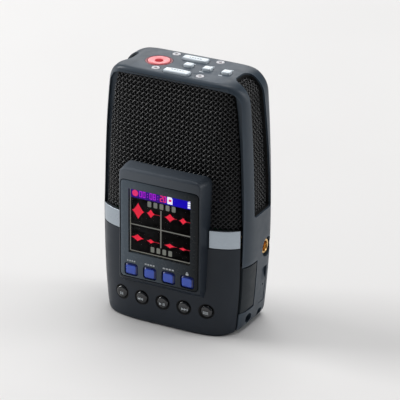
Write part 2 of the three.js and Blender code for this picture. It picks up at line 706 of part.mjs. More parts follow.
function batteryTray() {
  const { half, front, low, high, pocketHalf } = TRAY;
  const body = block([-half, half], [front, CELL.y], [low, high]);
  const pocket = (z) => rod('x', [0, CELL.y, z], CELL.radius + 0.2, -pocketHalf, pocketHalf, FINE_ROUND);
  const usbNotch = block([-30, -22], [front - 0.8, front + 0.8], [USB.z - 5, USB.z + 5]);
  const plateSlot = block([pocketHalf - 1, pocketHalf], [1, 10], [low + 0.1, high - 1.5]);
  return cut(body, ...CELL.z.map(pocket), usbNotch, plateSlot);
}

function contactPlate() {
  return block([25.6, 26], [CELL.y - 3.5, CELL.y + 3.5], [CELL.z[0] - 4, CELL.z[1] + 4]);
}

// A conical contact spring between a cell's flat end and the end of the tray.
function contactSpring(z, side) {
  const turns = 2.5;
  const points = Array.from({ length: 21 }, (_, i) => {
    const part = i / 20;
    const angle = part * turns * 2 * Math.PI;
    const radius = 4.2 - 2 * part;
    const x = side * (25.15 - 0.65 * part);
    return new THREE.Vector3(x, CELL.y + radius * Math.cos(angle), z + radius * Math.sin(angle));
  });
  const path = new THREE.CatmullRomCurve3(points);
  const wire = new THREE.Shape();
  wire.absarc(0, 0, 0.12, 0, 2 * Math.PI, false);
  const options = { steps: 24, extrudePath: path, bevelEnabled: false, curveSegments: 2 };
  return toSolid(new THREE.ExtrudeGeometry(wire, options));
}

// A plate over the electronics carries a post with the three capsules near the middle of the grilles.
function micCradle() {
  const postTop = 84.2;
  const plate = caseForm(3.9).intersect(slab(46.2, 47.6));
  const post = block([-2.2, 2.2], [1.6, 5.9], [47.4, postTop]);
  const web = block([-5.6, 5.6], [2.6, 4.6], [72, postTop]);
  return union(plate, post, web);
}

function capsule(axis, centre, facing) {
  const { radius, half } = CAPSULE;
  const profile = [
    [0, -half],
    [radius - 0.3, -half],
    [radius, -half + 0.3],
    [radius, half - 0.6],
    [radius - 0.6, half],
    [3, half],
    [2.8, half - 0.4],
    [0, half - 0.4],
  ];
  const along = facing > 0 ? profile : profile.map(([r, s]) => [r, -s]).reverse();
  return turned(axis, centre, along, 16);
}

function windFoam() {
  const [wide, deep, y, wall] = [52, 19.2, 4, 0.8];
  const outer = prism('z', keyOutline(0, y, wide, deep, 0, 6), 48, 98.9, 5);
  return cut(outer, prism('z', keyOutline(0, y, wide - 2 * wall, deep - 2 * wall, 0, 6 - wall), 40, 110, 5));
}

function speaker() {
  const { y, z, radius } = SPEAKER;
  const magnet = [[0, 27.4], [3.4, 27.4], [3.4, 28.8]];
  const basket = [[radius, 29.1], [radius, 30.8]];
  const cone = [[radius - 0.6, 30.8], [1, 29.8], [0, 30]];
  return turned('x', [0, y, z], [...magnet, ...basket, ...cone], FINE_ROUND).mirror([1, 0, 0]);
}

function tripodNut() {
  const { nut, thread } = TRIPOD;
  const profile = [[thread, 0.2], [nut, 0.2], [nut, 5.9], [thread, 5.9], [thread, 0.2]];
  return turned('z', [0, TRIPOD.y, 0], profile, FINE_ROUND);
}

// A pan-head screw with a cross slot. The head is at the low end of its axis.
function screw(axis, centre, headFrom, headTo, tip, headRadius) {
  const outward = Math.sign(tip - headTo);
  const head = [[0, headFrom], [headRadius, headFrom], [headRadius, headTo]];
  const thread = [[0.8, headTo], [0.8, tip], [0, tip]];
  const body = [...head, ...thread];
  const shank = turned(axis, centre, outward > 0 ? body : body.reverse(), 16);
  const [x, y, z] = centre;
  const depth = [Math.min(headFrom, headFrom + outward * 0.5), Math.max(headFrom, headFrom + outward * 0.5)];
  const long = [-1.1, 1.1];
  const short = [-0.2, 0.2];
  const slot = (u, v) => (axis === 'z'
    ? block([x + u[0], x + u[1]], [y + v[0], y + v[1]], depth)
    : block([x + u[0], x + u[1]], depth, [z + v[0], z + v[1]]));
  return cut(shank, slot(long, short), slot(short, long));
}

// ---- the assembly -----------------------------------------------------------------------------------
function finish(color, roughness, metalness = 0) {
  return new THREE.MeshStandardMaterial({ color, roughness, metalness });
}

const casePlastic = finish('#4a535c', 0.5);
const coverPlastic = finish('#333a42', 0.5);
const grilleSteel = finish('#16181a', 0.45, 0.6);
const bandMetal = finish('#a3adb5', 0.4, 0.7);
const blueKey = finish('#2f56c0', 0.35);
const darkKey = finish('#22262a', 0.3);
const whiteKey = finish('#e8eef4', 0.4);
const boardGreen = finish('#1d5a3c', 0.6);
const blackPlastic = finish('#17191b', 0.6);
const steel = finish('#b9bcc0', 0.35, 0.9);
const gold = finish('#d8a851', 0.3, 0.9);

const recorder = new THREE.Group();

function add(name, solid, material) {
  const mesh = new THREE.Mesh(toGeometry(solid), material);
  mesh.name = name;
  recorder.add(mesh);
}

add('main_frame', mainFrame(), casePlastic);
add('front_cover', frontCover(), coverPlastic);
add('battery_cover', batteryCover(), coverPlastic);
add('front_grille', frontGrille(), grilleSteel);
add('rear_grille', rearGrille(), grilleSteel);
add('left_grille', sideGrille(-1), grilleSteel);
add('right_grille', sideGrille(1), grilleSteel);
add('front_band_left', frontBand(-1), bandMetal);
add('front_band_right', frontBand(1), bandMetal);
add('rear_band', rearBand(), bandMetal);
add('wind_foam', windFoam(), blackPlastic);
add('display_lens', displayLens(), finish('#2b3238', 0.15));
add('lcd_module', lcdModule(), finish('#0a0a0d', 0.3));
functionPlaces().forEach((x, i) => add(`function_button_${i + 1}`, functionKey(x), blueKey));
transportPlaces().forEach((place, i) => add(`transport_button_${i + 1}`, transportKey(place), darkKey));
add('record_button', recordKey(), finish('#ff9da2', 0.35));
add('record_ring', recordRing(), finish('#7a1420', 0.4));
add('front_mic_button', wideKey(WIDE_KEY.frontY, 1), whiteKey);
add('rear_mic_button', wideKey(WIDE_KEY.rearY, -1), whiteKey);
SMALL_KEY.x.forEach((x, i) => add(`pattern_button_${i + 1}`, smallKey(x), whiteKey));
indicatorPlaces().forEach((place, i) => add(`indicator_${i + 1}`, indicator(place), whiteKey));
add('key_board', keyBoard(), boardGreen);
add('main_board', mainBoard(), boardGreen);
add('top_board', topBoard(), boardGreen);
CELL.z.forEach((z, i) => add(`aa_cell_${i + 1}`, cell(z, i ? -1 : 1), steel));
add('battery_tray', batteryTray(), blackPlastic);
add('contact_plate', contactPlate(), steel);
add('contact_spring_1', contactSpring(CELL.z[0], -1), steel);
add('contact_spring_2', contactSpring(CELL.z[1], 1), steel);
add('card_door', cardDoor(), coverPlastic);
add('card_socket', cardSocket(), steel);
add('memory_card', memoryCard(), blackPlastic);
add('line_jack', jack(1), gold);
add('phones_jack', jack(-1), gold);
add('usb_socket', usbSocket(), steel);
add('volume_rocker', volumeRocker(), coverPlastic);
add('power_switch', powerSwitch(), blackPlastic);
add('mic_cradle', micCradle(), blackPlastic);
add('mic_front', capsule('y', [0, CAPSULE.frontY, CAPSULE.z], -1), steel);
add('mic_rear', capsule('y', [0, CAPSULE.rearY, CAPSULE.z], 1), steel);
add('mic_side', capsule('x', [0, CAPSULE.sideY, CAPSULE.sideZ], 1), steel);
add('speaker', speaker(), steel);
add('tripod_nut', tripodNut(), gold);
screwPlaces().forEach(([x, y], i) => {
  add(`case_screw_${i + 1}`, screw('z', [x, y, 0], 0.2, 1.4, 7.4, 1.9), steel);
});
boardScrewPlaces().forEach(([x, z], i) => {
  add(`board_screw_${i + 1}`, screw('y', [x, 0, z], -6.5, -7.6, -10.9, 1.9), steel);
});

export default recorder;
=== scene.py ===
"""The looks of a portable field recorder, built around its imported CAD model.

Shapes are worked out in millimetres and turned into metres when a piece is finished. +Z is up, -Y comes
out of the display, and +X is to the viewer's right when the display is faced.
"""

import functools
import json
import math

import bmesh
import bpy
import numpy as np
from mathutils import Matrix, Vector


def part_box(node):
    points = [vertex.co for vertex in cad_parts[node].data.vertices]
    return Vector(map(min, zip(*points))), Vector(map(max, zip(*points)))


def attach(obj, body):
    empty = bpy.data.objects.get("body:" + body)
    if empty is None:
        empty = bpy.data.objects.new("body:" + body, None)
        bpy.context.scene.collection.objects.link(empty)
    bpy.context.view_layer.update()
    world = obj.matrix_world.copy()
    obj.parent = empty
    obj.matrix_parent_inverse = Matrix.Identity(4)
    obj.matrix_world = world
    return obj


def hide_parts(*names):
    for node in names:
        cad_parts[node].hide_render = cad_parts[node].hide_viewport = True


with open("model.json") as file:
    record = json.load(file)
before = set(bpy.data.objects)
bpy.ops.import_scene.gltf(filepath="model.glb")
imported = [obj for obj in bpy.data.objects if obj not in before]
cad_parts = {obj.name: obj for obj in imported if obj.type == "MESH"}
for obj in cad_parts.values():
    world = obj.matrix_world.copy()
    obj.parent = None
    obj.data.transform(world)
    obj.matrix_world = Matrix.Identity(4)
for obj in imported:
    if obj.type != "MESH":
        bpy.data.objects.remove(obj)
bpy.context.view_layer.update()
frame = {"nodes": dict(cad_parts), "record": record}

MM = 0.001
FAR = 60.0
GAP = 0.3


def span(node):
    """Lowest and highest corner of a CAD node, in millimetres."""
    low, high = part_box(node)
    return np.array(low) / MM, np.array(high) / MM


def middle(node):
    low, high = span(node)
    return (low + high) / 2


# ---- driving dimensions, from the frame ----
HEIGHT = span("main_frame")[1][2]
REAR_Y = span("main_frame")[1][1]
SEAM_Y = span("card_door")[0][1] - 0.1
REAR_HALF = span("rear_band")[1][0] + GAP
BAND_LOW, BAND_HIGH = span("rear_band")[0][2], span("rear_band")[1][2]
LENS_LOW, LENS_HIGH = span("display_lens")
LENS_Y = LENS_LOW[1]
LENS_HALF = (LENS_HIGH[0] - LENS_LOW[0]) / 2
LCD_LOW, LCD_HIGH = span("lcd_module")
BLOCK_HALF = span("front_band_right")[0][0] - GAP
BLOCK_HIGH = span("front_cover")[1][2]
KEY_RISE = span("front_mic_button")[1][2] - HEIGHT
BODY_OF = {node: body for body, nodes in frame["record"]["behaviour"]["bodies"].items() for node in nodes}

# ---- shape constants of the case form ----
REAR_SEAM_Y = 13.0
OPENING_TOP = HEIGHT - 3.0
LIP_TOP = HEIGHT - 1.5
LIP_REAR_Y = -7.3
HALF_WIDTH = 33.9
WIDEST_Z = 42.0
WIDEST_Y = 5.0
TOP_CORNER = 8.5
BOTTOM_CORNER = 4.2
TOP_EDGE = 1.6
BOTTOM_EDGE = 1.5
WALL = 2.4
COVER_WALL = 2.0
BAND_WALL = 1.6
GRILLE_INSET = 1.6
SIDE_GRILLE_INSET = 2.3
LCD_ACTIVE = 27.7
WINDOW_LOW, WINDOW_TOP_X = 49.8, 23.5
WINDOW_FRONT_TOP, WINDOW_FRONT_LOW, WINDOW_REAR_TOP, WINDOW_REAR_LOW = -0.8, 0.2, 10.7, 15.4
RAMP_TOP, RAMP_LOW = 20.6, 16.8
SEAM_GROOVE = 0.9
KEY_RADIUS = 2.6
KEY_HOLE = 3.35
WINDOW_CORNER = 3.6
BROW = 1.4
SIDE_INNER = 26.0
BOSS_RADIUS, BOSS_TOP = 4.9, 7.0
RECORD_RADIUS, RECORD_HOLE = 4.75, 5.75
AROUND = 260


# ---- mesh helpers ----
def solid(name, vertices, faces):
    """A closed mesh object with its faces pointing out."""
    mesh = bpy.data.meshes.new(name)
    mesh.from_pydata([tuple(map(float, v)) for v in vertices], [], faces)
    work = bmesh.new()
    work.from_mesh(mesh)
    bmesh.ops.recalc_face_normals(work, faces=work.faces)
    work.to_mesh(mesh)
    work.free()
    piece = bpy.data.objects.new(name, mesh)
    bpy.context.scene.collection.objects.link(piece)
    return piece


def loft(rings, name="loft"):
    """Joins rings of equal point counts, and closes both ends."""
    count = len(rings[0])
    faces = [list(range(count)), list(range((len(rings) - 1) * count, len(rings) * count))]
    for ring in range(len(rings) - 1):
        for i in range(count):
            j = (i + 1) % count
            a = ring * count
            faces.append([a + i, a + j, a + count + j, a + count + i])
    return solid(name, np.concatenate(rings), faces)


def closed_loft(rings, name="ring"):
    """Joins rings of equal point counts into a loop."""
    sides = len(rings[0])
    faces = []
    for ring in range(len(rings)):
        for i in range(sides):
            j = (i + 1) % sides
            a, b = ring * sides, (ring + 1) % len(rings) * sides
            faces.append([a + i, a + j, b + j, b + i])
    return solid(name, np.concatenate(rings), faces)


def plates(name, outlines, point):
    """Thin closed plates, one to an outline. point(u, v, side) gives a corner on side 0 or 1."""
    vertices, faces = [], []
    for outline in outlines:
        first, count = len(vertices), len(outline)
        vertices += [point(u, v, side) for side in (0, 1) for u, v in outline]
        faces.append(list(range(first, first + count)))
        faces.append(list(range(first + count, first + 2 * count)))
        for i in range(count):
            j = (i + 1) % count
            faces.append([first + i, first + j, first + count + j, first + count + i])
    return solid(name, vertices, faces)


def on_axis(axis, u, v, along):
    """A point from two plan coordinates and one along the axis."""
    if axis == "x":
        return (along, u, v)
    if axis == "y":
        return (u, along, v)
    return (u, v, along)


def prism(axis, outline, low, high):
    return loft([[on_axis(axis, u, v, at) for u, v in outline] for at in (low, high)])


def stack(axis, levels):
    """A loft of outlines, each at its own place along the axis."""
    return loft([[on_axis(axis, u, v, at) for u, v in outline] for at, outline in levels])


def block(x, y, z):
    return prism("z", [(x[0], y[0]), (x[1], y[0]), (x[1], y[1]), (x[0], y[1])], *z)


def circle(u, v, radius, sides=48):
    angles = [2 * math.pi * i / sides for i in range(sides)]
    return [(u + radius * math.cos(a), v + radius * math.sin(a)) for a in angles]


def rod(axis, u, v, radius, low, high, sides=48):
    return prism(axis, circle(u, v, radius, sides), low, high)


def turned(axis, u, v, profile, sides=56):
    """A turned piece. Profile pairs are (radius, place along the axis); a closed profile makes a ring."""
    if profile[0][0] == 0:
        profile = [(1e-4, profile[0][1])] + list(profile[1:])
    if profile[-1][0] == 0:
        profile = list(profile[:-1]) + [(1e-4, profile[-1][1])]
    rings = [[on_axis(axis, a, b, s) for a, b in circle(u, v, r, sides)] for r, s in profile]
    if profile[0] != profile[-1]:
        return loft(rings)
    return closed_loft(rings[:-1])


def rounded(half_u, low, high, radius, u=0.0, steps=6):
    """A rounded rectangle, centred on u in the first direction."""
    radius = max(radius, 0.02)
    centres = [
        (u + half_u - radius, low + radius, -90),
        (u + half_u - radius, high - radius, 0),
        (u - half_u + radius, high - radius, 90),
        (u - half_u + radius, low + radius, 180),
    ]
    points = []
    for cu, cv, start in centres:
        for i in range(steps + 1):
            a = math.radians(start + 90 * i / steps)
            points.append((cu + radius * math.cos(a), cv + radius * math.sin(a)))
    return points


def boolean(base, tool, operation):
    modifier = base.modifiers.new("boolean", "BOOLEAN")
    modifier.solver = "MANIFOLD"
    modifier.operation = operation
    modifier.object = tool
    seen = base.evaluated_get(bpy.context.evaluated_depsgraph_get())
    mesh = bpy.data.meshes.new_from_object(seen)
    base.modifiers.clear()
    base.data = mesh
    bpy.data.objects.remove(tool)
    return base


def cut(base, *tools):
    for tool in tools:
        boolean(base, tool, "DIFFERENCE")
    return base


def join(base, *tools):
    for tool in tools:
        boolean(base, tool, "UNION")
    return base


def common(base, *tools):
    for tool in tools:
        boolean(base, tool, "INTERSECT")
    return base


def ease(piece, width, angle=38, segments=2):
    """Rounds the sharp edges of a piece, once slivers along its cuts are merged."""
    work = bmesh.new()
    work.from_mesh(piece.data)
    bmesh.ops.remove_doubles(work, verts=work.verts, dist=0.04)
    bmesh.ops.dissolve_degenerate(work, edges=work.edges, dist=0.02)
    work.to_mesh(piece.data)
    work.free()
    modifier = piece.modifiers.new("edges", "BEVEL")
    modifier.width = width * MM
    modifier.segments = segments
    modifier.limit_method = "ANGLE"
    modifier.angle_limit = math.radians(angle)
    modifier.use_clamp_overlap = True
    modifier.miter_outer = "MITER_ARC"
    return piece


def place(piece, name, body, material, nodes=(), smooth=35):
    """Turns a finished piece into metres, gives it its name, body and material, and hides the CAD nodes it
    stands for.
    """
    piece.name = name
    piece.data.name = name
    piece.data.transform(Matrix.Scale(MM, 4))
    piece.data.materials.clear()
    piece.data.materials.append(MATERIALS[material])
    piece.data.polygons.foreach_set("use_smooth", [True] * len(piece.data.polygons))
    piece.data.set_sharp_from_angle(angle=math.radians(smooth))
    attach(piece, body)
    if nodes:
        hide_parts(*nodes)
    return piece


# ---- the case form ----
def smooth_step(t):
    k = min(1.0, max(0.0, t))
    return k * k * (3 - 2 * k)


def side_half(z):
    if z > WIDEST_Z:
        return HALF_WIDTH - 2.2 * ((z - WIDEST_Z) / 56) ** 2
    return HALF_WIDTH - 2.6 * ((WIDEST_Z - z) / WIDEST_Z) ** 1.8


def front_at(z):
    lean = 5 * max(0.0, (z - 46) / (HEIGHT - 46))
    belly = 1.3 * smooth_step((38 - z) / 24)
    return LENS_Y + 4.45 + lean - belly


def edge_loss(radius, distance):
    if distance >= radius:
        return 0.0
    return radius - math.sqrt(max(0.0, radius**2 - (radius - distance) ** 2))


def section(z, inset):
    """Half width, front and rear reach, and the plan exponents of the form at a height."""
    above = max(0.0, z - inset)
    below = max(0.0, HEIGHT - inset - z)
    top_loss = edge_loss(max(0.6, TOP_CORNER - inset), below)
    bottom_loss = edge_loss(max(0.6, BOTTOM_CORNER - inset), above)
    edge = edge_loss(max(0.5, TOP_EDGE - inset), below) + edge_loss(max(0.5, BOTTOM_EDGE - inset), above)
    half = side_half(z) - inset - top_loss - bottom_loss
    front = WIDEST_Y - (front_at(z) + inset + edge)
    rear = REAR_Y - inset - edge - WIDEST_Y
    power = 3.3 + 0.8 * smooth_step((z - 50) / 48) + 0.6 * top_loss + 0.5 * bottom_loss
    return half, front, rear, power, 10.0


def plan_points(z, inset, angles):
    half, front, rear, front_power, rear_power = section(z, inset)
    u, v = np.cos(angles), np.sin(angles)
    u[np.abs(u) < 1e-9] = 0
    v[np.abs(v) < 1e-9] = 0
    power = np.where(v < 0, front_power, rear_power)
    reach = np.where(v < 0, front, rear)
    x = half * np.sign(u) * np.abs(u) ** (2 / power)
    y = WIDEST_Y + reach * np.sign(v) * np.abs(v) ** (2 / power)
    return x, y


def even_angles():
    """Angles that space the points of a middle section evenly round the case."""
    fine = np.linspace(0, 2 * math.pi, 20001)
    x, y = plan_points(60.0, 0.0, fine)
    length = np.concatenate([[0], np.cumsum(np.hypot(np.diff(x), np.diff(y)))])
    return np.interp(np.linspace(0, length[-1], AROUND + 1)[:-1], length, fine)


ANGLES = even_angles()


def case_form(inset):
    top = max(0.6, TOP_CORNER - inset)
    bottom = max(0.6, BOTTOM_CORNER - inset)
    arc = 1 - np.cos(np.linspace(0, math.pi / 2, 12))
    low = inset + bottom * arc
    high = (HEIGHT - inset - top * arc)[::-1]
    between = np.linspace(low[-1], high[0], 72)[1:-1]
    rings = []
    for z in [*low, *between, *high]:
        x, y = plan_points(z, inset, ANGLES.copy())
        rings.append(np.column_stack([x, y, np.full_like(x, z)]))
    return loft(rings, "form")


def front_surface(x, z, inset=0.0):
    half, front, _, power, _ = section(z, inset)
    part = max(0.0, 1 - min(1.0, abs(x) / half) ** power)
    return WIDEST_Y - front * part ** (1 / power)


def side_surface(y, z, inset=0.0):
    half, front, rear, front_power, rear_power = section(z, inset)
    reach, power = (front, front_power) if y < WIDEST_Y else (rear, rear_power)
    part = max(0.0, 1 - min(1.0, abs(y - WIDEST_Y) / reach) ** power)
    return half * part ** (1 / power)


def shell(inset, depth):
    return cut(case_form(inset), case_form(depth))


def opening_outline(inset, top, corner, low=-4.0):
    heights = np.linspace(low, top - corner, 30)
    right = [(side_half(z) - inset, z) for z in heights]
    arc_x = side_half(top - corner) - inset - corner
    arc = []
    for i in range(1, 13):
        a = math.radians(90 * i / 12)
        arc.append((arc_x + corner * math.cos(a), top - corner + corner * math.sin(a)))
    right += arc
    return right + [(-x, z) for x, z in reversed(right)]


def window_edges(z):
    """Where the side window's front and rear edges are at a height."""
    part = (z - WINDOW_LOW) / (HEIGHT - WINDOW_LOW)
    front = WINDOW_FRONT_LOW + (WINDOW_FRONT_TOP - WINDOW_FRONT_LOW) * part
    return front, WINDOW_REAR_LOW + (WINDOW_REAR_TOP - WINDOW_REAR_LOW) * part


def window_region(side, margin):
    """The side window: it narrows upwards, and its corners are rounded in plan and along its foot."""
    rings = []
    low, top = WINDOW_LOW - margin, HEIGHT + 2
    near, foot = WINDOW_TOP_X - margin, 1.5
    for rise in [foot * (1 - math.cos(math.radians(a))) for a in range(0, 91, 15)] + [top - low]:
        front, rear = window_edges(low + rise)
        narrower = edge_loss(foot, rise)
        front, rear = front - margin + narrower, rear + margin - narrower
        outline = rounded((FAR - near) / 2, front, rear, WINDOW_CORNER, (FAR + near) / 2)
        rings.append([(side * x, y, low + rise) for x, y in outline])
    return loft(rings)


def slab(low, high):
    return block((-FAR, FAR), (-FAR, FAR), (low, high))


# ---- materials ----
class Nodes:
    """A small wrapper that makes a node tree readable."""

    def __init__(self, name):
        self.material = bpy.data.materials.new(name)
        self.material.use_nodes = True
        self.tree = self.material.node_tree
        self.shader = self.tree.nodes["Principled BSDF"]
        self.place = self.add("ShaderNodeTexCoord").outputs["Object"]

    def add(self, kind, **settings):
        node = self.tree.nodes.new(kind)
        for key, value in settings.items():
            if key.startswith("in_"):
                node.inputs[key[3:].replace("_", " ")].default_value = value
            else:
                setattr(node, key, value)
        return node

    def link(self, source, target):
        self.tree.links.new(source, target)

    def noise(self, scale, detail=3.0, roughness=0.55, stretch=None):
        node = self.add("ShaderNodeTexNoise", in_Scale=scale, in_Detail=detail, in_Roughness=roughness)
        source = self.place
        if stretch:
            mapping = self.add("ShaderNodeMapping")
            mapping.inputs["Scale"].default_value = stretch
            self.link(source, mapping.inputs["Vector"])
            source = mapping.outputs["Vector"]
        self.link(source, node.inputs["Vector"])
        return node.outputs["Fac"]

    def spread(self, source, low, high, from_low=0.3, from_high=0.7):
        node = self.add("ShaderNodeMapRange")
        node.inputs["From Min"].default_value = from_low
        node.inputs["From Max"].default_value = from_high
        node.inputs["To Min"].default_value = low
        node.inputs["To Max"].default_value = high
        self.link(source, node.inputs["Value"])
        return node.outputs["Result"]

    def mix(self, factor, first, second):
        node = self.add("ShaderNodeMix", data_type="RGBA")
        colours = [s for s in node.inputs if s.type == "RGBA"]
        for socket, value in zip(colours, (first, second)):
            if isinstance(value, tuple):
                socket.default_value = (*value, 1)
            else:
                self.link(value, socket)
        self.link(factor, node.inputs["Factor"])
        return next(s for s in node.outputs if s.type == "RGBA")

    def bump(self, height, strength, distance):
        node = self.add("ShaderNodeBump", in_Strength=strength, in_Distance=distance)
        self.link(height, node.inputs["Height"])
        self.drive("Normal", node.outputs["Normal"])

    def drive(self, name, source):
        """Links a source to a socket of the shader."""
        self.link(source, self.shader.inputs[name])

    def fix(self, name, value):
        """Sets a socket of the shader to a constant."""
        self.shader.inputs[name].default_value = value

    def axis(self, name, low, high):
        """Rises from 0 to 1 along one axis of the part."""
        split = self.add("ShaderNodeSeparateXYZ")
        self.link(self.place, split.inputs["Vector"])
        return self.spread(split.outputs[name], 0, 1, low, high)


def shade(colour, factor):
    return tuple(min(1.0, c * factor) for c in colour)


def moulded(name, colour, roughness, grain=2600.0, bump=0.12, wear=0.25, coat=0.0, shine=0.5, brow=None):
    """Moulded plastic: fine spark texture, slow colour drift, and edges rubbed lighter."""
    n = Nodes(name)
    drift = n.noise(35.0, 2.0)
    base = n.mix(n.spread(drift, 0, 1), shade(colour, 0.93), shade(colour, 1.07))
    # Painted light: given brow colours, the top of the display housing is painted paler, most of all at its
    # left.
    if brow:
        base = painted_brow_light(n, base, *brow)
    edge = n.spread(n.add("ShaderNodeNewGeometry").outputs["Pointiness"], 0, wear, 0.52, 0.62)
    base = n.mix(edge, base, shade(colour, 1.9))
    n.drive("Base Color", base)
    fine = n.noise(grain, 2.0)
    n.drive("Roughness", n.spread(n.noise(300.0), roughness - 0.05, roughness + 0.06))
    n.bump(fine, bump, 0.00004)
    n.fix("Coat Weight", coat)
    n.fix("Coat Roughness", 0.08)
    n.fix("Specular IOR Level", shine)
    return n.material


def painted_brow_light(n, base, left_colour, right_colour):
    """Painted light on the cover: its tone rises towards the top of the display housing, most of all at its
    left, where the lamps light it from above and the left.
    """
    starts, ends = BLOCK_HIGH - 22, BLOCK_HIGH - 5
    across = n.axis("X", -BLOCK_HALF * MM, BLOCK_HALF * MM)
    upward = n.axis("Z", starts * MM, ends * MM)
    return n.mix(upward, base, n.mix(across, left_colour, right_colour))


def metal(name, colour, roughness, stretch=(1, 1, 1), scale=900.0, bump=0.06):
    """Metal with a fine directional finish."""
    n = Nodes(name)
    line = n.noise(scale, 4.0, 0.6, stretch)
    tone = n.mix(n.spread(line, 0, 1), shade(colour, 0.9), shade(colour, 1.08))
    n.drive("Base Color", tone)
    n.drive("Roughness", n.spread(line, roughness - 0.07, roughness + 0.09))
    n.bump(line, bump, 0.00003)
    n.fix("Metallic", 1.0)
    return n.material


def painted_wire():
    """Black paint on wire, slightly uneven in tone and gloss."""
    n = Nodes("painted_wire")
    uneven = n.noise(1500.0, 3.0)
    tone = n.mix(n.spread(uneven, 0, 1), (0.004, 0.0045, 0.0055), (0.015, 0.016, 0.018))
    n.drive("Base Color", tone)
    n.drive("Roughness", n.spread(uneven, 0.26, 0.44))
    n.bump(uneven, 0.2, 0.00003)
    n.fix("Specular IOR Level", 0.8)
    return n.material


def open_foam():
    n = Nodes("open_foam")
    cells = n.add("ShaderNodeTexVoronoi", in_Scale=1400.0)
    n.link(n.place, cells.inputs["Vector"])
    pores = cells.outputs["Distance"]
    pit, strut = (0.0005, 0.0005, 0.0005), (0.002, 0.002, 0.002)
    tone = n.mix(n.spread(pores, 0, 1, 0.1, 0.6), pit, strut)
    n.drive("Base Color", tone)
    n.drive("Roughness", n.spread(pores, 0.85, 1.0, 0.1, 0.6))
    n.bump(pores, 0.6, 0.0003)
    return n.material


def glowing(name, colour, strength):
    """A part that gives off light, with a faint grain: the display's picture and the record key's spot."""
    n = Nodes(name)
    grain = n.spread(n.noise(5000.0, 1.0), 0, 1)
    tone = n.mix(grain, shade(colour, 0.85), colour)
    n.drive("Base Color", tone)
    n.drive("Emission Color", tone)
    n.fix("Emission Strength", strength)
    n.fix("Roughness", 0.5)
    n.fix("Specular IOR Level", 0.1)
    return n.material


def translucent(name, colour, roughness, depth_colour, glow=0.0):
    """Tinted plastic that light enters: a paler middle and a deeper tone towards its edges."""
    n = Nodes(name)
    cloud = n.spread(n.noise(240.0, 3.0), 0, 1)
    rim = n.spread(n.add("ShaderNodeNewGeometry").outputs["Pointiness"], 0, 0.5, 0.5, 0.6)
    base = n.mix(cloud, shade(colour, 0.93), shade(colour, 1.04))
    base = n.mix(rim, base, depth_colour)
    n.drive("Base Color", base)
    n.drive("Roughness", n.spread(n.noise(700.0), roughness - 0.05, roughness + 0.07))
    n.bump(n.noise(1800.0), 0.08, 0.00004)
    n.fix("Subsurface Weight", 0.25)
    n.fix("Subsurface Radius", (0.001, 0.001, 0.001))
    n.fix("Coat Weight", 0.25)
    n.fix("Coat Roughness", 0.12)
    if glow:
        n.fix("Emission Color", (*colour, 1))
        n.fix("Emission Strength", glow)
    return n.material


def dark_gloss_with_painted_reflection(name, left_colour, right_colour, shine=0.2):
    """Dark glossy print with a painted reflection: its tone falls off across its width, pale at the left and
    dark at the right, where the lamps' reflection would be.
    """
    n = Nodes(name)
    across = n.axis("X", -LENS_HALF * MM, LENS_HALF * MM)
    n.drive("Base Color", n.mix(across, left_colour, right_colour))
    n.drive("Roughness", n.spread(n.noise(700.0), 0.2, 0.3))
    n.bump(n.noise(1500.0), 0.02, 0.00002)
    n.fix("Specular IOR Level", shine)
    return n.material


def clear_window():
    n = Nodes("clear_window")
    n.fix("Transmission Weight", 1.0)
    n.fix("IOR", 1.02)
    n.drive("Roughness", n.spread(n.noise(400.0), 0.01, 0.04))
    n.fix("Base Color", (0.86, 0.9, 0.92, 1))
    return n.material


def circuit_board():
    n = Nodes("circuit_board")
    tracks = n.add("ShaderNodeTexBrick", in_Scale=420.0)
    n.link(n.place, tracks.inputs["Vector"])
    tracks.inputs["Color1"].default_value = (0.01, 0.1, 0.05, 1)
    tracks.inputs["Color2"].default_value = (0.012, 0.13, 0.06, 1)
    tracks.inputs["Mortar"].default_value = (0.02, 0.2, 0.1, 1)
    n.drive("Base Color", tracks.outputs["Color"])
    n.drive("Roughness", n.spread(n.noise(600.0), 0.3, 0.5))
    return n.material


MOULDED = {
    "case_plastic": dict(colour=(0.04, 0.056, 0.075), roughness=0.4, shine=0.34),
    "cover_plastic": dict(colour=(0.014, 0.022, 0.035), roughness=0.36, shine=0.28),
    # housing_plastic carries painted light: its brow colours paint the top of the display housing paler, most
    # at its left.
    "housing_plastic": dict(colour=(0.016, 0.023, 0.034), roughness=0.36, shine=0.3,
                            brow=((0.12, 0.14, 0.165), (0.038, 0.048, 0.062))),
    "door_plastic": dict(colour=(0.018, 0.025, 0.031), roughness=0.45, shine=0.25),
    "dark_key": dict(colour=(0.008, 0.01, 0.013), roughness=0.2, grain=1500.0, bump=0.05, wear=0.3, coat=0.5),
    "key_print": dict(colour=(0.3, 0.34, 0.38), roughness=0.5, grain=3000.0, bump=0.03, wear=0.0),
    "pale_print": dict(colour=(0.5, 0.54, 0.57), roughness=0.5, grain=3000.0, bump=0.03, wear=0.0),
    "indicator_core": dict(colour=(0.3, 0.25, 0.26), roughness=0.4, grain=3000.0, bump=0.03, wear=0.0),
    "black_plastic": dict(colour=(0.012, 0.013, 0.015), roughness=0.5),
    # Painted shade: the near-black used in the seam, the door groove, the opening walls and the gaps round
    # the keys, which lie in shade.
    "painted_shade_black": dict(colour=(0.002, 0.002, 0.0025), roughness=0.75, grain=1800.0, bump=0.1, wear=0.0),
}
METALS = {
    "band_metal": ((0.4, 0.45, 0.5), 0.34, (1, 1, 14)),
    "cell_jacket": ((0.3, 0.32, 0.35), 0.35, (12, 1, 1)),
    "steel": ((0.5, 0.51, 0.53), 0.32, (1, 8, 1)),
    "gold": ((0.78, 0.5, 0.2), 0.26, (1, 1, 1), 1500.0),
}
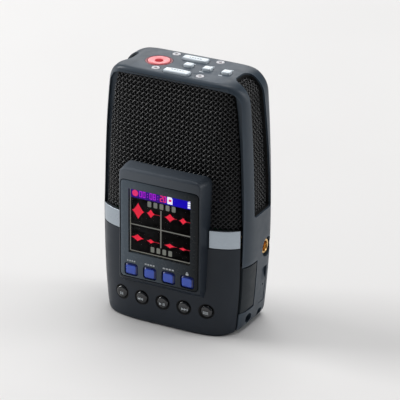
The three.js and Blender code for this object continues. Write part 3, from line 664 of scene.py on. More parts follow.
TRANSLUCENT = {
    "blue_key": ((0.03, 0.1, 0.6), 0.36, (0.02, 0.06, 0.45)),
    "key_skirt": ((0.004, 0.014, 0.15), 0.3, (0.003, 0.012, 0.12)),
    "record_key": ((0.9, 0.26, 0.28), 0.38, (0.7, 0.1, 0.12), 0.1),
    # Painted shade and glow: the record ring's dark red stands in for the shade in the moat round the key,
    # tinted by the key's red light.
    "record_ring": ((0.25, 0.012, 0.03), 0.35, (0.1, 0.0, 0.01)),
    "white_key": ((0.85, 0.92, 0.97), 0.36, (0.66, 0.75, 0.83)),
    "indicator_ring": ((0.66, 0.66, 0.69), 0.4, (0.5, 0.49, 0.52)),
}
GLOWING = {
    "record_spot": ((0.42, 0.0, 0.01), 0.15),
    "screen_blue": ((0.006, 0.0, 0.36), 1.0),
    "screen_indigo": ((0.03, 0.006, 0.16), 1.0),
    "screen_violet": ((0.36, 0.012, 0.5), 1.0),
    "screen_red": ((0.7, 0.02, 0.045), 0.9),
    "screen_rose": ((0.68, 0.03, 0.14), 1.0),
    "screen_white": ((0.8, 0.78, 0.85), 1.0),
    "screen_grey": ((0.17, 0.16, 0.14), 1.0),
    "screen_label": ((0.15, 0.145, 0.125), 1.0),
}
MATERIALS = {
    "grille_wire": painted_wire(),
    "foam": open_foam(),
    # Painted reflection: the lens print and the display's dark ground are painted lighter at their left and
    # darker at their right.
    "lens_print_and_reflection": dark_gloss_with_painted_reflection("lens_print_and_reflection", (0.11, 0.14, 0.17), (0.0, 0.002, 0.004)),
    "display": dark_gloss_with_painted_reflection("display", (0.03, 0.027, 0.027), (0.0008, 0.0, 0.0003), 0.02),
    "clear_window": clear_window(),
    "circuit_board": circuit_board(),
}
MATERIALS.update((name, moulded(name, **look)) for name, look in MOULDED.items())
for maker, looks in ((metal, METALS), (translucent, TRANSLUCENT), (glowing, GLOWING)):
    MATERIALS.update((name, maker(name, *look)) for name, look in looks.items())

NODE_MATERIALS = {
    "circuit_board": ["key_board", "main_board", "top_board"],
    "cell_jacket": ["aa_cell_1", "aa_cell_2"],
    "black_plastic": ["battery_tray", "mic_cradle", "memory_card"],
    "steel": [
        "contact_plate", "contact_spring_1", "contact_spring_2", "card_socket",
        "mic_front", "mic_rear", "mic_side", "speaker", "board_screw_1", "board_screw_2",
    ],
}
for material_name, nodes in NODE_MATERIALS.items():
    for node in nodes:
        carried = frame["nodes"][node]
        carried.data.materials.clear()
        carried.data.materials.append(MATERIALS[material_name])


# ---- the case ----
def wide_outline(node, towards, shrink=0.0, steps=10):
    """A wide key's outline: its inner edge bows towards the middle of the top face."""
    low, high = span(node)
    margin, half_deep, bow, radius = 0.9, 2.15, 2.0, 0.5
    x = (low[0] + high[0]) / 2
    half = (high[0] - low[0]) / 2 - margin - shrink
    deep = half_deep - shrink
    y = low[1] + half_deep if towards > 0 else high[1] - half_deep
    outer, inner = y - towards * deep, y + towards * (deep - 1)
    points = [(x - half + radius, outer), (x + half - radius, outer), (x + half, outer + towards * radius)]
    for i in range(steps + 1):
        t = i / steps
        points.append((x + half - 2 * half * t, inner + bow * towards * t * (1 - t)))
    points.append((x - half, outer + towards * radius))
    return points


def small_key_outline(node, shrink=0.0):
    low, high = span(node)
    margin, radius = 0.6 + shrink, 0.75 - max(0.0, shrink)
    half = (high[0] - low[0]) / 2 - margin
    return rounded(half, low[1] + margin, high[1] - margin, radius, (low[0] + high[0]) / 2)


PATTERN_NODES = [f"pattern_button_{i}" for i in (1, 2, 3)]
INDICATOR_NODES = [f"indicator_{i}" for i in (1, 2, 3, 4)]
FUNCTION_NODES = [f"function_button_{i}" for i in (1, 2, 3, 4)]
TRANSPORT_NODES = [f"transport_button_{i}" for i in (1, 2, 3, 4, 5)]
SCREW_NODES = ["case_screw_1", "case_screw_2"]


def top_cutters():
    low, high = HEIGHT - WALL - 4, HEIGHT + 4
    ring = middle("record_ring")
    cutters = [prism("z", small_key_outline(node, -GAP), low, high) for node in PATTERN_NODES]
    cutters.append(prism("z", wide_outline("front_mic_button", 1, -GAP), low, high))
    cutters.append(prism("z", wide_outline("rear_mic_button", -1, -GAP), low, high))
    cutters.append(rod("z", ring[0], ring[1], RECORD_HOLE, low, high, 64))
    for node in INDICATOR_NODES:
        x, y, _ = middle(node)
        cutters.append(rod("z", x, y, 1.9, low, high))
    return cutters


def jack_cutters(side):
    _, y, z = middle("line_jack")
    recess, bore = (4.3, 31.9), (3.3, SIDE_INNER)
    return [rod("x", y, z, radius, *sorted((side * near, side * FAR)), 56) for radius, near in (recess, bore)]


def strap_cutters():
    """Two strap holes in the lower right corner, and the passage that joins them behind the wall."""
    passage = [(-1, 3.6), (12.2, 1.6), (12.2, 4.6), (-1, 6.6)]
    return [
        prism("x", passage, 28.1, 29.8),
        prism("x", rounded(2.3, 2.9, 6.9, 1.9, 0.3), 28.1, FAR),
        prism("x", rounded(1.9, 1.6, 5.2, 1.5, 10.2), 28.1, FAR),
    ]


def speaker_cutters():
    """Five slots, by turns long and short."""
    _, y, z = middle("speaker")
    pitch, half_tall = 2, 0.5
    slots = []
    for step in range(-2, 3):
        at = z + pitch * step
        slots.append(rounded(3.2 if step % 2 else 4.0, at - half_tall, at + half_tall, 0.45, y))
    return [prism("x", slot, -FAR, -SIDE_INNER) for slot in slots]


def side_cutters():
    """Openings for the door and the rocker on the right, and for the socket and the switch on the left."""
    door_low, door_high = span("card_door")
    low, high = span("volume_rocker")
    usb_low, usb_high = span("usb_socket")
    usb_y, room, corner = middle("usb_socket")[1], 0.25, 1.7
    _, y, z = middle("power_switch")
    travel, slot = 3.0, 1.3
    usb_half = (usb_high[1] - usb_low[1]) / 2 + room
    usb_outline = rounded(usb_half, usb_low[2] - room, usb_high[2] + room, corner, usb_y)
    right, left = (SIDE_INNER, FAR), (-FAR, -SIDE_INNER)
    return [
        block(right, (SEAM_Y - 1, door_high[1] + GAP), (door_low[2] - GAP, door_high[2] + GAP)),
        block(right, (low[1] - GAP, high[1] + GAP), (low[2] - GAP, high[2] + GAP)),
        prism("x", usb_outline, *left),
        prism("x", rounded(1.9, z - 3.4, z + travel + 3.4, 0.8, y), -FAR, -31.9),
        block(left, (y - 0.9, y + 0.9), (z - slot, z + travel + slot)),
    ]


def build_case_frame():
    strap_block = block((27.4, FAR), (-2, 13.4), (0.5, 7.4))
    nut = middle("tripod_nut")
    frame_piece = join(shell(0, WALL), common(strap_block, case_form(0)))
    cut(
        frame_piece,
        prism("y", opening_outline(1.3, OPENING_TOP, 7), -FAR, SEAM_Y),
        prism("y", opening_outline(1.3, LIP_TOP, 7.5), -FAR, LIP_REAR_Y),
        prism("y", opening_outline(2, OPENING_TOP, 6.6), -FAR, -3.7),
        prism("y", rounded(REAR_HALF, -20, OPENING_TOP, 6), REAR_SEAM_Y, FAR),
        window_region(1, 0),
        window_region(-1, 0),
    )
    join(frame_piece, rod("z", nut[0], nut[1], BOSS_RADIUS, 0, BOSS_TOP, 56))
    screws = []
    for x, y, _ in map(middle, SCREW_NODES):
        screws += [rod("z", x, y, 2.2, -1, 1.6), rod("z", x, y, 1.1, -1, 4)]
    cut(
        frame_piece,
        rod("z", nut[0], nut[1], 4.0, -1, 6.2, 56),
        *top_cutters(),
        *jack_cutters(1),
        *jack_cutters(-1),
        *strap_cutters(),
        *speaker_cutters(),
        *side_cutters(),
        *screws,
    )
    ease(frame_piece, 0.22)
    place(frame_piece, "case_shell", "case", "case_plastic", ["main_frame"])


def build_shade_linings():
    """Painted shade: black linings in the seam, round the door and along the walls of the openings, where the
    grooves and walls lie in shade.
    """
    def place_black(piece, name):
        place(piece, name, "case", "painted_shade_black")

    low, high = span("card_door")
    seam = common(shell(0.9, 1.9), block((-FAR, FAR), (SEAM_Y - 1.4, SEAM_Y + 0.4), (-1, BAND_HIGH)))
    place_black(seam, "seam_shade_lining")
    frame_block = block((SIDE_INNER, FAR), (low[1], high[1] + 0.8), (low[2] + 1.6, high[2] + 0.8))
    door_block = block((20, FAR), (low[1] - 1, high[1] - 0.7), (0, high[2] - 0.5))
    place_black(common(shell(0.8, 2.0), cut(frame_block, door_block)), "door_shade_lining")
    lining = cut(
        prism("y", opening_outline(1.25, LIP_TOP + 0.05, 7.5, BAND_HIGH), -FAR, SEAM_Y - 0.4),
        prism("y", opening_outline(1.75, LIP_TOP - 0.45, 7.1, BAND_HIGH - 1), -FAR - 1, SEAM_Y + 1),
    )
    place_black(common(lining, shell(0.75, 3.2)), "front_lining")
    for side, name in ((1, "right_lining"), (-1, "left_lining")):
        wall = cut(window_region(side, 0.05), window_region(side, -0.25))
        place_black(common(wall, shell(0.8, 3.6)), name)


# ---- the front cover ----
def display_housing():
    """The raised housing: rows across it, with rounded side edges, a rounded brow and a sloping foot."""
    edge, corner, draft = 0.7, 3.0, 1.0
    foot = front_surface(0, RAMP_LOW) + 0.25
    heights = [RAMP_LOW + (RAMP_TOP - RAMP_LOW) * i / 16 for i in range(16)]
    heights += list(np.linspace(RAMP_TOP, BLOCK_HIGH - corner, 24))
    heights += [BLOCK_HIGH - corner * (1 - math.sin(math.radians(a))) for a in range(8, 88, 6)] + [BLOCK_HIGH]
    rows = []
    for z in heights:
        base = BLOCK_HALF - edge_loss(corner, BLOCK_HIGH - z)
        half = base - draft
        face = LENS_Y + edge_loss(BROW, BLOCK_HIGH - z)
        if z < RAMP_TOP:
            face = LENS_Y + (foot - LENS_Y) * smooth_step((RAMP_TOP - z) / (RAMP_TOP - RAMP_LOW))
        row = [(base, 0.0), (base, face + 6), (half, face + edge)]
        for i in range(1, 7):
            a = math.radians(90 * i / 6)
            row.append((half - edge * (1 - math.cos(a)), face + edge * (1 - math.sin(a))))
        across = [(half - edge) * (1 - 2 * i / 12) for i in range(1, 6)]
        row += [(x, face) for x in across]
        row += [(0.0, face)] + [(-x, y) for x, y in reversed(row)]
        rows.append([(x, y, z) for x, y in row])
    return loft(rows, "housing")


def function_outline(node, grow=0.0, radius=0.8):
    low, high = span(node)
    half = (high[0] - low[0]) / 2 - 1 + grow
    return rounded(half, low[2] + 0.7 - grow, high[2] - 0.7 + grow, radius, (low[0] + high[0]) / 2)


def front_region(low, high, wall):
    return common(shell(0, wall), block((-FAR, FAR), (-FAR, SEAM_Y - SEAM_GROOVE), (low, high)))


def build_front_shell():
    lower = front_region(-1, BAND_LOW - GAP, COVER_WALL)
    body = join(lower, cut(display_housing(), case_form(1.9)))
    key_z = middle("function_button_1")[2]
    lens_bed = rounded(LENS_HALF + GAP, LENS_LOW[2] - GAP, LENS_HIGH[2] + GAP, 1.9)
    cutters = [
        prism("y", lens_bed, LENS_Y - 1, LENS_Y + 1.5),
        block((LCD_LOW[0] - GAP, LCD_HIGH[0] + GAP), (LENS_Y - 1, LCD_HIGH[1] + 0.2),
              (LCD_LOW[2] - GAP, LCD_HIGH[2] + GAP)),
        block((-17, 17), (-15.6, -8), (key_z - 2.9, key_z + 2.9)),
    ]
    cutters += [prism("y", function_outline(node, 0.92, 1.3), -FAR, -14.5) for node in FUNCTION_NODES]
    for node in TRANSPORT_NODES:
        x, _, z = middle(node)
        y = front_surface(x, z)
        cutters += [rod("y", x, z, KEY_HOLE, -FAR, -6, 64), rod("y", x, z, 4.15, y + 1.3, -6, 64)]
    nut = middle("tripod_nut")
    cutters.append(rod("z", nut[0], nut[1], BOSS_RADIUS + GAP, -1, 9, 56))
    cut(body, *cutters)
    ease(body, 0.2)
    place(body, "front_shell", "case", "housing_plastic", ["front_cover"])


def build_bands():
    for side, name in ((-1, "front_band_left"), (1, "front_band_right")):
        near = BLOCK_HALF + GAP
        x = (near, FAR) if side > 0 else (-FAR, -near)
        band = common(front_region(BAND_LOW, BAND_HIGH, BAND_WALL), block(x, (-FAR, 0), (0, 200)))
        ease(band, 0.25)
        place(band, name.replace("band", "trim"), "case", "band_metal", [name])
    rear = rear_region(shell(0, BAND_WALL), BAND_LOW, BAND_HIGH)
    ease(rear, 0.25)
    place(rear, "rear_trim", "case", "band_metal", ["rear_band"])


def rear_region(piece, low, high):
    outline = rounded(REAR_HALF - GAP, -20, OPENING_TOP - GAP, 5.8)
    return common(piece, prism("y", outline, REAR_SEAM_Y + GAP, FAR), slab(low, high))


def build_battery_lid():
    lid = rear_region(shell(0, 1.8), -1, span("battery_cover")[1][2])
    grooves = [
        prism("y", rounded(7, 28 + 1.9 * i, 28.9 + 1.9 * i, 0.4), REAR_Y - 0.5, FAR) for i in range(4)
    ]
    arrow = prism("y", [(-2.4, 24.6), (2.4, 24.6), (0, 21.6)], REAR_Y - 0.35, FAR)
    cut(lid, *grooves, arrow)
    ease(lid, 0.22)
    place(lid, "battery_lid", "rear_cover", "cover_plastic", ["battery_cover"])


# ---- woven grilles ----
WIRE_PITCH = 1.45
WIRE_RADIUS = 0.25
WIRE_SIDES = 6
UNDER_RIM = 0.8


def wire_tube(points, radius, store):
    """Adds one tube along a list of points to the stored vertices and faces."""
    vertices, faces = store
    count = len(points)
    points = np.array(points)
    along = np.gradient(points, axis=0)
    along /= np.linalg.norm(along, axis=1)[:, None]
    up = np.array([0.03, 0.02, 1.0])
    first = len(vertices)
    for point, direction in zip(points, along):
        a = np.cross(direction, up)
        a /= np.linalg.norm(a)
        b = np.cross(a, direction)
        for i in range(WIRE_SIDES):
            angle = 2 * math.pi * i / WIRE_SIDES
            vertices.append(point + radius * (math.cos(angle) * a + math.sin(angle) * b))
    for ring in range(count - 1):
        for i in range(WIRE_SIDES):
            j = (i + 1) % WIRE_SIDES
            a = first + ring * WIRE_SIDES
            faces.append([a + i, a + j, a + WIRE_SIDES + j, a + WIRE_SIDES + i])
    faces.append([first + i for i in range(WIRE_SIDES)])
    faces.append([first + (count - 1) * WIRE_SIDES + i for i in range(WIRE_SIDES)])


def woven(name, node, surface, inside, reach):
    """Two families of crossing wires at 45 degrees, each over and under in turn.

    surface(s, z, lift) gives a point, inside(s, z) says whether the mesh covers it, and reach bounds s and z.
    """
    store = ([], [])
    (s_low, s_high), (z_low, z_high) = reach
    middle_s, middle_z = (s_low + s_high) / 2, (z_low + z_high) / 2
    step = WIRE_PITCH / 3
    half = math.sqrt(0.5)
    steps = int(((s_high - s_low) + (z_high - z_low)) / step)
    for family in (1, -1):
        corners = [s * half + family * z * half for s in (s_low, s_high) for z in (z_low, z_high)]
        first, last = math.floor(min(corners) / WIRE_PITCH), math.ceil(max(corners) / WIRE_PITCH)
        centre = (middle_z * half - family * middle_s * half) * family
        for index in range(first, last + 1):
            run = []
            across = index * WIRE_PITCH
            for k in range(-steps, steps + 1):
                along = centre + k * step
                s = half * (across - along)
                z = family * half * (across + along)
                if inside(s, z):
                    lift = family * 0.8 * WIRE_RADIUS * math.cos(math.pi * (along / WIRE_PITCH + index))
                    run.append(surface(s, z, lift))
                elif run:
                    if len(run) > 2:
                        wire_tube(run, WIRE_RADIUS, store)
                    run = []
            if len(run) > 2:
                wire_tube(run, WIRE_RADIUS, store)
    mesh = solid(name, store[0], store[1])
    place(mesh, name, "case", "grille_wire", [node], smooth=80)


def inside_outline(outline):
    """A test for whether a point lies in a polygon."""
    corners = np.array(outline)
    following = np.roll(corners, -1, axis=0)

    def test(u, v):
        crosses = (corners[:, 1] > v) != (following[:, 1] > v)
        if not crosses.any():
            return False
        a, b = corners[crosses], following[crosses]
        at = a[:, 0] + (v - a[:, 1]) * (b[:, 0] - a[:, 0]) / (b[:, 1] - a[:, 1])
        return int((at > u).sum()) % 2 == 1

    return test


def build_grilles():
    low, _ = span("front_grille")
    x = np.linspace(0, 31.6, 400)
    y = np.array([front_surface(value, 75.0, GRILLE_INSET) for value in x])
    length = np.concatenate([[0], np.cumsum(np.hypot(np.diff(x), np.diff(y)))])

    def front(s, z, lift):
        px = math.copysign(float(np.interp(abs(s), length, x)), s)
        return (px, front_surface(px, z, GRILLE_INSET - lift), z)

    border = inside_outline(opening_outline(1.7, LIP_TOP - 0.1, 7.2, low[2]))

    def covered(s, z):
        px = float(np.interp(abs(s), length, x))
        behind_housing = abs(s) < BLOCK_HALF - 1 and z < BLOCK_HIGH - 3
        under_lip = front_surface(px, z, GRILLE_INSET) > SEAM_Y + 1.2
        return abs(s) < length[-1] and border(px, z) and not behind_housing and not under_lip

    woven("front_mesh", "front_grille", front, covered, ((-length[-1], length[-1]), (low[2], LIP_TOP)))

    rear_low, rear_high = span("rear_grille")
    rear_outline = inside_outline(rounded(REAR_HALF - 0.4, rear_low[2] - 20, rear_high[2], 5.6))

    def rear_covered(s, z):
        return z > rear_low[2] and rear_outline(s, z)

    def rear(s, z, lift):
        _, _, reach, _, power = section(z, GRILLE_INSET - lift)
        half = section(z, GRILLE_INSET)[0]
        part = 1 - min(1.0, abs(s) / half) ** power
        return (s, WIDEST_Y + reach * part ** (1 / power), z)

    reach = ((-REAR_HALF, REAR_HALF), (rear_low[2], rear_high[2]))
    woven("rear_mesh", "rear_grille", rear, rear_covered, reach)
    for side, name, node in ((1, "right_mesh", "right_grille"), (-1, "left_mesh", "left_grille")):
        build_side_grille(side, name, node)


def build_side_grille(side, name, node):
    """The side grille climbs the side wall and turns over onto the top."""
    low, high = span(node)
    path = []
    for z in np.linspace(low[2] + 0.2, HEIGHT - TOP_CORNER, 60):
        path.append((side_half(z) - SIDE_GRILLE_INSET, z))
    radius = TOP_CORNER - SIDE_GRILLE_INSET
    centre_x = side_half(HEIGHT - TOP_CORNER) - TOP_CORNER
    for i in range(1, 25):
        a = math.radians(90 * i / 24)
        path.append((centre_x + radius * math.cos(a), HEIGHT - TOP_CORNER + radius * math.sin(a)))
    path.append((WINDOW_TOP_X - 0.9, HEIGHT - SIDE_GRILLE_INSET))
    path = np.array(path)
    length = np.concatenate([[0], np.cumsum(np.hypot(*np.diff(path, axis=0).T))])
    normals = np.gradient(path, axis=0)
    normals /= np.linalg.norm(normals, axis=1)[:, None]

    def surface(y, t, lift):
        px = float(np.interp(t, length, path[:, 0]))
        pz = float(np.interp(t, length, path[:, 1]))
        nx = float(np.interp(t, length, normals[:, 1]))
        nz = -float(np.interp(t, length, normals[:, 0]))
        level = min(pz, HEIGHT - TOP_CORNER)
        bulge = side_half(level) - side_surface(y, level)
        return (side * (px + nx * lift - bulge), y, pz + nz * lift)

    def covered(y, t):
        if not 0 < t < length[-1]:
            return False
        front, rear = window_edges(float(np.interp(t, length, path[:, 1])))
        return front - UNDER_RIM < y < rear + UNDER_RIM

    woven(name, node, surface, covered, ((low[1], high[1]), (0.0, float(length[-1]))))


def build_foam():
    """The foam sleeve behind the grilles, slightly crowned so that it isn't a flat-sided box."""
    low, high = span("wind_foam")
    crown, ripple, ripples, clear, thick, longer = 0.35, 0.12, 40, 0.5, 1.2, 0.05
    outer, inner = [], []
    for z in np.linspace(low[2], high[2], 24):
        part = (z - low[2]) / (high[2] - low[2])
        squeeze = crown * (1 - 4 * (part - 0.5) ** 2)
        wave = ripple * math.sin(part * ripples)
        half = (high[0] - low[0]) / 2 - clear + squeeze + wave
        front, rear = low[1] + clear - squeeze - wave, high[1] - clear + squeeze + wave
        outer.append([(x, y, z) for x, y in rounded(half, front, rear, 6, 0, 10)])
        inner_z = z + (z - (low[2] + high[2]) / 2) * longer
        outline = rounded(half - thick, front + thick, rear - thick, 5, 0, 10)
        inner.append([(x, y, inner_z) for x, y in outline])
    sleeve = cut(loft(outer), loft(inner))
    place(sleeve, "foam_liner", "case", "foam", ["wind_foam"])
    build_dark_liner()


def build_dark_liner():
    """A thin dark sheet just behind the wires, in the foam's material. It is open under the top keys, which
    move down.
    """
    foot = WINDOW_LOW - 3
    front = common(shell(2.3, 2.65), block((-FAR, FAR), (-FAR, SEAM_Y + 1), (foot, HEIGHT - 2.5)))
    liner = common(shell(3.7, 4.3), slab(foot, HEIGHT - 3.6))
    key_edge = span("rear_mic_button")[1][1] + GAP
    under_keys = block((-22.5, 22.5), (SEAM_Y, key_edge), (HEIGHT - 6, HEIGHT))
    cut(liner, under_keys)
    place(join(liner, front), "mesh_lining", "case", "foam")


# ---- display ----
def build_lens():
    """The lens is one plate: its rim is printed on the back, its window is clear."""
    thick = LENS_HIGH[1] - LENS_LOW[1]
    centre_z = middle("lcd_module")[2]
    opening = LCD_ACTIVE / 2 + 0.25
    levels = []
    for inset, at in ((0.0, thick), (0.0, 0.18), (0.06, 0.06), (0.2, 0.0)):
        outline = rounded(LENS_HALF - inset, LENS_LOW[2] + inset, LENS_HIGH[2] - inset, 1.6 - inset)
        levels.append((LENS_Y + at, outline))
    rim = stack("y", levels)
    cutters = [prism("y", function_outline(node, 0.92, 1.3), -FAR, 0) for node in FUNCTION_NODES]
    window = [(-opening, centre_z - opening), (opening, centre_z - opening),
              (opening, centre_z + opening), (-opening, centre_z + opening)]
    cut(rim, *cutters, prism("y", window, -FAR, FAR))
    # The rim's dark print carries a painted reflection that fades from left to right.
    place(rim, "lens_rim", "case", "lens_print_and_reflection", ["display_lens"])
    pane = prism("y", rounded(opening - 0.02, centre_z - opening + 0.02, centre_z + opening - 0.02, 0.1),
                 LENS_Y + 0.02, LENS_Y + 0.32)
    place(pane, "lens_pane", "case", "clear_window")


PICTURE_Y = LENS_Y + 1.5


def on_screen(u, v):
    """A point of the lit area, from shares of its width and height."""
    centre = middle("lcd_module")
    return ((u - 0.5) * LCD_ACTIVE + centre[0], (v - 0.5) * LCD_ACTIVE + centre[2])


def screen_rect(u, v, wide, tall, radius=0.0):
    x, z = on_screen(u, v)
    half, height = wide * LCD_ACTIVE / 2, tall * LCD_ACTIVE / 2
    return rounded(half, z - height, z + height, radius * LCD_ACTIVE, x, 4)


def tiles(name, outlines, y, material, thick=0.06):
    """Flat shapes that lie on one plane facing the viewer, as one piece."""
    def point(u, v, side):
        return (u, y + side * thick, v)

    place(plates(name, outlines, point), name, "case", material)


def burst(u, v, half_wide, half_tall, tail=0.0):
    """One burst of sound in a waveform: a diamond with curved flanks and a thin tail."""
    steps, least = 8, 0.002
    shares = [i / steps for i in range(steps + 1)]
    points = [(u - half_wide * (1 - t), v + half_tall * t**1.5 + least) for t in shares]
    points += [(u + half_wide * t, v + half_tall * (1 - t) ** 1.5 + least) for t in shares[1:]]
    if tail:
        points.append((u + half_wide + tail, v + least))
    lower = [(a, 2 * v - b) for a, b in reversed(points)]
    return [on_screen(a, b) for a, b in points + lower]


def word_bars(u, v, count, wide):
    """A row of plain bars in place of a word."""
    step = wide / count
    first = u - wide / 2 + step / 2
    return [screen_rect(first + step * i, v, step * 0.6, 0.085, 0.012) for i in range(count)]


SEGMENTS = {"0": "abcdef", "2": "abged", "8": "abcdefg"}


def digit(character, u, v, wide, tall):
    """A plain seven-segment digit as bars."""
    stroke = 0.012
    places = {
        "a": (0, 1, 1, 0), "d": (0, -1, 1, 0), "g": (0, 0, 1, 0),
        "f": (-1, 0.5, 0, 1), "b": (1, 0.5, 0, 1), "e": (-1, -0.5, 0, 1), "c": (1, -0.5, 0, 1),
    }
    bars = []
    for name in SEGMENTS[character]:
        du, dv, flat, upright = places[name]
        bars.append(screen_rect(u + du * wide / 2, v + dv * tall / 2,
                                flat * wide * 0.8 + stroke, upright * tall * 0.42 + stroke))
    return bars


def build_display():
    full = rounded(LCD_HIGH[0], LCD_LOW[2], LCD_HIGH[2], 0.6)
    face = rounded(LCD_HIGH[0] - 0.1, LCD_LOW[2] + 0.1, LCD_HIGH[2] - 0.1, 0.5)
    panel = stack("y", [(PICTURE_Y + 0.16, face), (PICTURE_Y + 0.26, full), (LCD_HIGH[1], full)])
    # The panel's dark ground carries a painted reflection, lighter at its left.
    place(panel, "display_panel", "case", "display", ["lcd_module"])
    y = PICTURE_Y
    above = y - 0.07
    tiles("screen_bar", [screen_rect(0.78, 0.928, 0.44, 0.144)], y, "screen_blue")
    tiles("screen_bar_left", [screen_rect(0.28, 0.928, 0.56, 0.144)], y, "screen_indigo")
    dot = [circle(*on_screen(0.075, 0.93), 1.35, 32)]
    tiles("screen_record_dot", dot, above, "screen_rose")
    timer = [(c, 0.165 + 0.057 * i) for i, c in enumerate("00 08 20") if c != " "]
    left = [bar for c, u in timer[:4] for bar in digit(c, u, 0.93, 0.034, 0.084)]
    right = [bar for c, u in timer[4:] for bar in digit(c, u, 0.93, 0.034, 0.084)]
    for u in (0.279, 0.45):
        left += [screen_rect(u, 0.95, 0.012, 0.014), screen_rect(u, 0.91, 0.012, 0.014)]
    tiles("screen_timer", left, above, "screen_violet")
    tiles("screen_timer_seconds", right, above, "screen_rose")
    card = [on_screen(u, v) for u, v in
            ((0.605, 0.872), (0.69, 0.872), (0.69, 0.955), (0.67, 0.982), (0.605, 0.982))]
    tiles("screen_card", [card], above, "screen_white")
    tiles("screen_card_mark", [screen_rect(0.652, 0.93, 0.045, 0.035)], y - 0.14, "screen_rose")
    cell = [screen_rect(0.965, 0.885 + 0.035 * i, 0.052, 0.026) for i in range(3)]
    cell.append(screen_rect(0.965, 0.982, 0.025, 0.012))
    tiles("screen_cell", cell, above, "screen_white")
    lines = [
        screen_rect(0.5, 0.428, 1.0, 0.014),
        screen_rect(0.5, 0.28, 0.016, 0.28),
        screen_rect(0.5, 0.585, 0.016, 0.3),
        screen_rect(-0.004, 0.5, 0.012, 1.0),
        screen_rect(0.5, 0.004, 1.0, 0.014),
    ]
    tiles("screen_lines", lines, y, "screen_grey")
    labels = word_bars(0.51, 0.8, 5, 0.5) + word_bars(0.51, 0.085, 4, 0.39)
    tiles("screen_labels", labels, above, "screen_label")
    waves = [
        burst(0.125, 0.655, 0.1, 0.125), burst(0.335, 0.655, 0.065, 0.065, 0.09),
        burst(0.65, 0.655, 0.085, 0.062, 0.03), burst(0.865, 0.65, 0.062, 0.05, 0.06),
        burst(0.115, 0.225, 0.1, 0.052), burst(0.335, 0.214, 0.065, 0.032, 0.08),
        burst(0.65, 0.21, 0.085, 0.034, 0.03), burst(0.865, 0.206, 0.062, 0.022, 0.06),
    ]
    tiles("screen_waves", waves, above, "screen_red")


def build_lens_marks():
    """Small pale marks over the four function keys, in place of words."""
    marks = []
    count, between, above = 4, 0.18, 1.25
    *worded, lock = FUNCTION_NODES
    for node, wide in zip(worded, (4.2, 4.8, 5.4)):
        x, z = middle(node)[0], span(node)[1][2] + above
        for i in range(count):
            u = x - wide / 2 + wide * (i + 0.5) / count
            marks.append(rounded(wide / count / 2 - between, z - 0.3, z + 0.3, 0.1, u, 3))
    x, z = middle(lock)[0], span(lock)[1][2] + above
    marks.append(rounded(0.65, z - 0.75, z + 0.1, 0.15, x, 3))
    marks.append(rounded(0.4, z + 0.25, z + 0.65, 0.15, x, 3))
    tiles("lens_marks", marks, LENS_Y - 0.02, "pale_print", 0.05)


# ---- keys ----
def build_function_keys():
    for node in FUNCTION_NODES:
        low, high = span(node)
        face = low[1]
        levels = [
            (high[1] - 0.9, function_outline(node, 0.8, 1.2)),
            (face + 0.85, function_outline(node, 0.8, 1.2)),
            (face + 0.6, function_outline(node, 0.7, 1.1)),
            (face + 0.2, function_outline(node, 0.08, 0.8)),
            (face + 0.08, function_outline(node, -0.02, 0.7)),
            (face + 0.02, function_outline(node, -0.2, 0.6)),
            (face, function_outline(node, -0.6, 0.4)),
        ]
        key = stack("y", levels)
        place(key, node.replace("button", "key"), BODY_OF[node],
              "blue_key", [node], smooth=50)
        paint_skirt(key, face + 0.12)


def paint_skirt(key, front_y):
    """Gives the sloping skirt of a function key a deeper tone than its face."""
    key.data.materials.append(MATERIALS["key_skirt"])
    for face in key.data.polygons:
        if face.center.y > front_y * MM:
            face.material_index = 1


def dome_depth(x, y, z, px, pz):
    """Depth of a round key's crown at a point of its face."""
    return y - CROWN_SINK + CROWN_CURVE * ((px - x) ** 2 + (pz - z) ** 2)


def pictograms():
    """Plain transport marks, one list of outlines for each round key, in millimetres about its centre."""
    def bar(half, u, low=-0.5, high=0.5, corner=0.03):
        return rounded(half, low, high, corner, u, 2)

    triangle = [(-0.65, -0.5), (0.35, 0.0), (-0.65, 0.5)]
    shifted = [(u + 0.95, v) for u, v in triangle]
    back_shifted = [(u - 0.35, v) for u, v in triangle]
    return [
        [bar(0.22, -0.32, corner=0.05), bar(0.22, 0.32, corner=0.05)],
        [[(-u, v) for u, v in triangle], [(-u, v) for u, v in shifted], bar(0.1, -1.15)],
        [back_shifted, bar(0.12, 0.45), bar(0.12, 0.85)],
        [triangle, shifted, bar(0.1, 1.45)],
        [bar(0.95, 0, low, low + 0.2, 0.05) for low in (0.3, -0.1, -0.5)],
    ]


def build_key_collars():
    """Painted shade: black rings that fill the gaps round the round keys and follow the cover's curve,
    standing in for the shade in those gaps.
    """
    for node in TRANSPORT_NODES:
        x, _, z = middle(node)
        back = front_surface(x, z) + 1.5
        rings = []
        inner, outer = KEY_RADIUS + 0.1, KEY_HOLE - 0.02
        for radius, depth in ((inner, None), (inner, 0.5), (outer, 0.15), (outer, None)):
            ring = circle(x, z, radius, 64)
            rings.append([(u, back if depth is None else min(back - 0.1, front_surface(u, v) + depth), v)
                          for u, v in ring])
        place(closed_loft(rings), node.replace("button", "collar"), "case", "painted_shade_black")


MARK_WIDER, MARK_TALLER, MARK_DROP, MARK_LIFT = 1.25, 1.15, 0.55, 0.1
CROWN_RADIUS, CROWN_SINK, CROWN_CURVE = 1.7, 0.5, 0.04


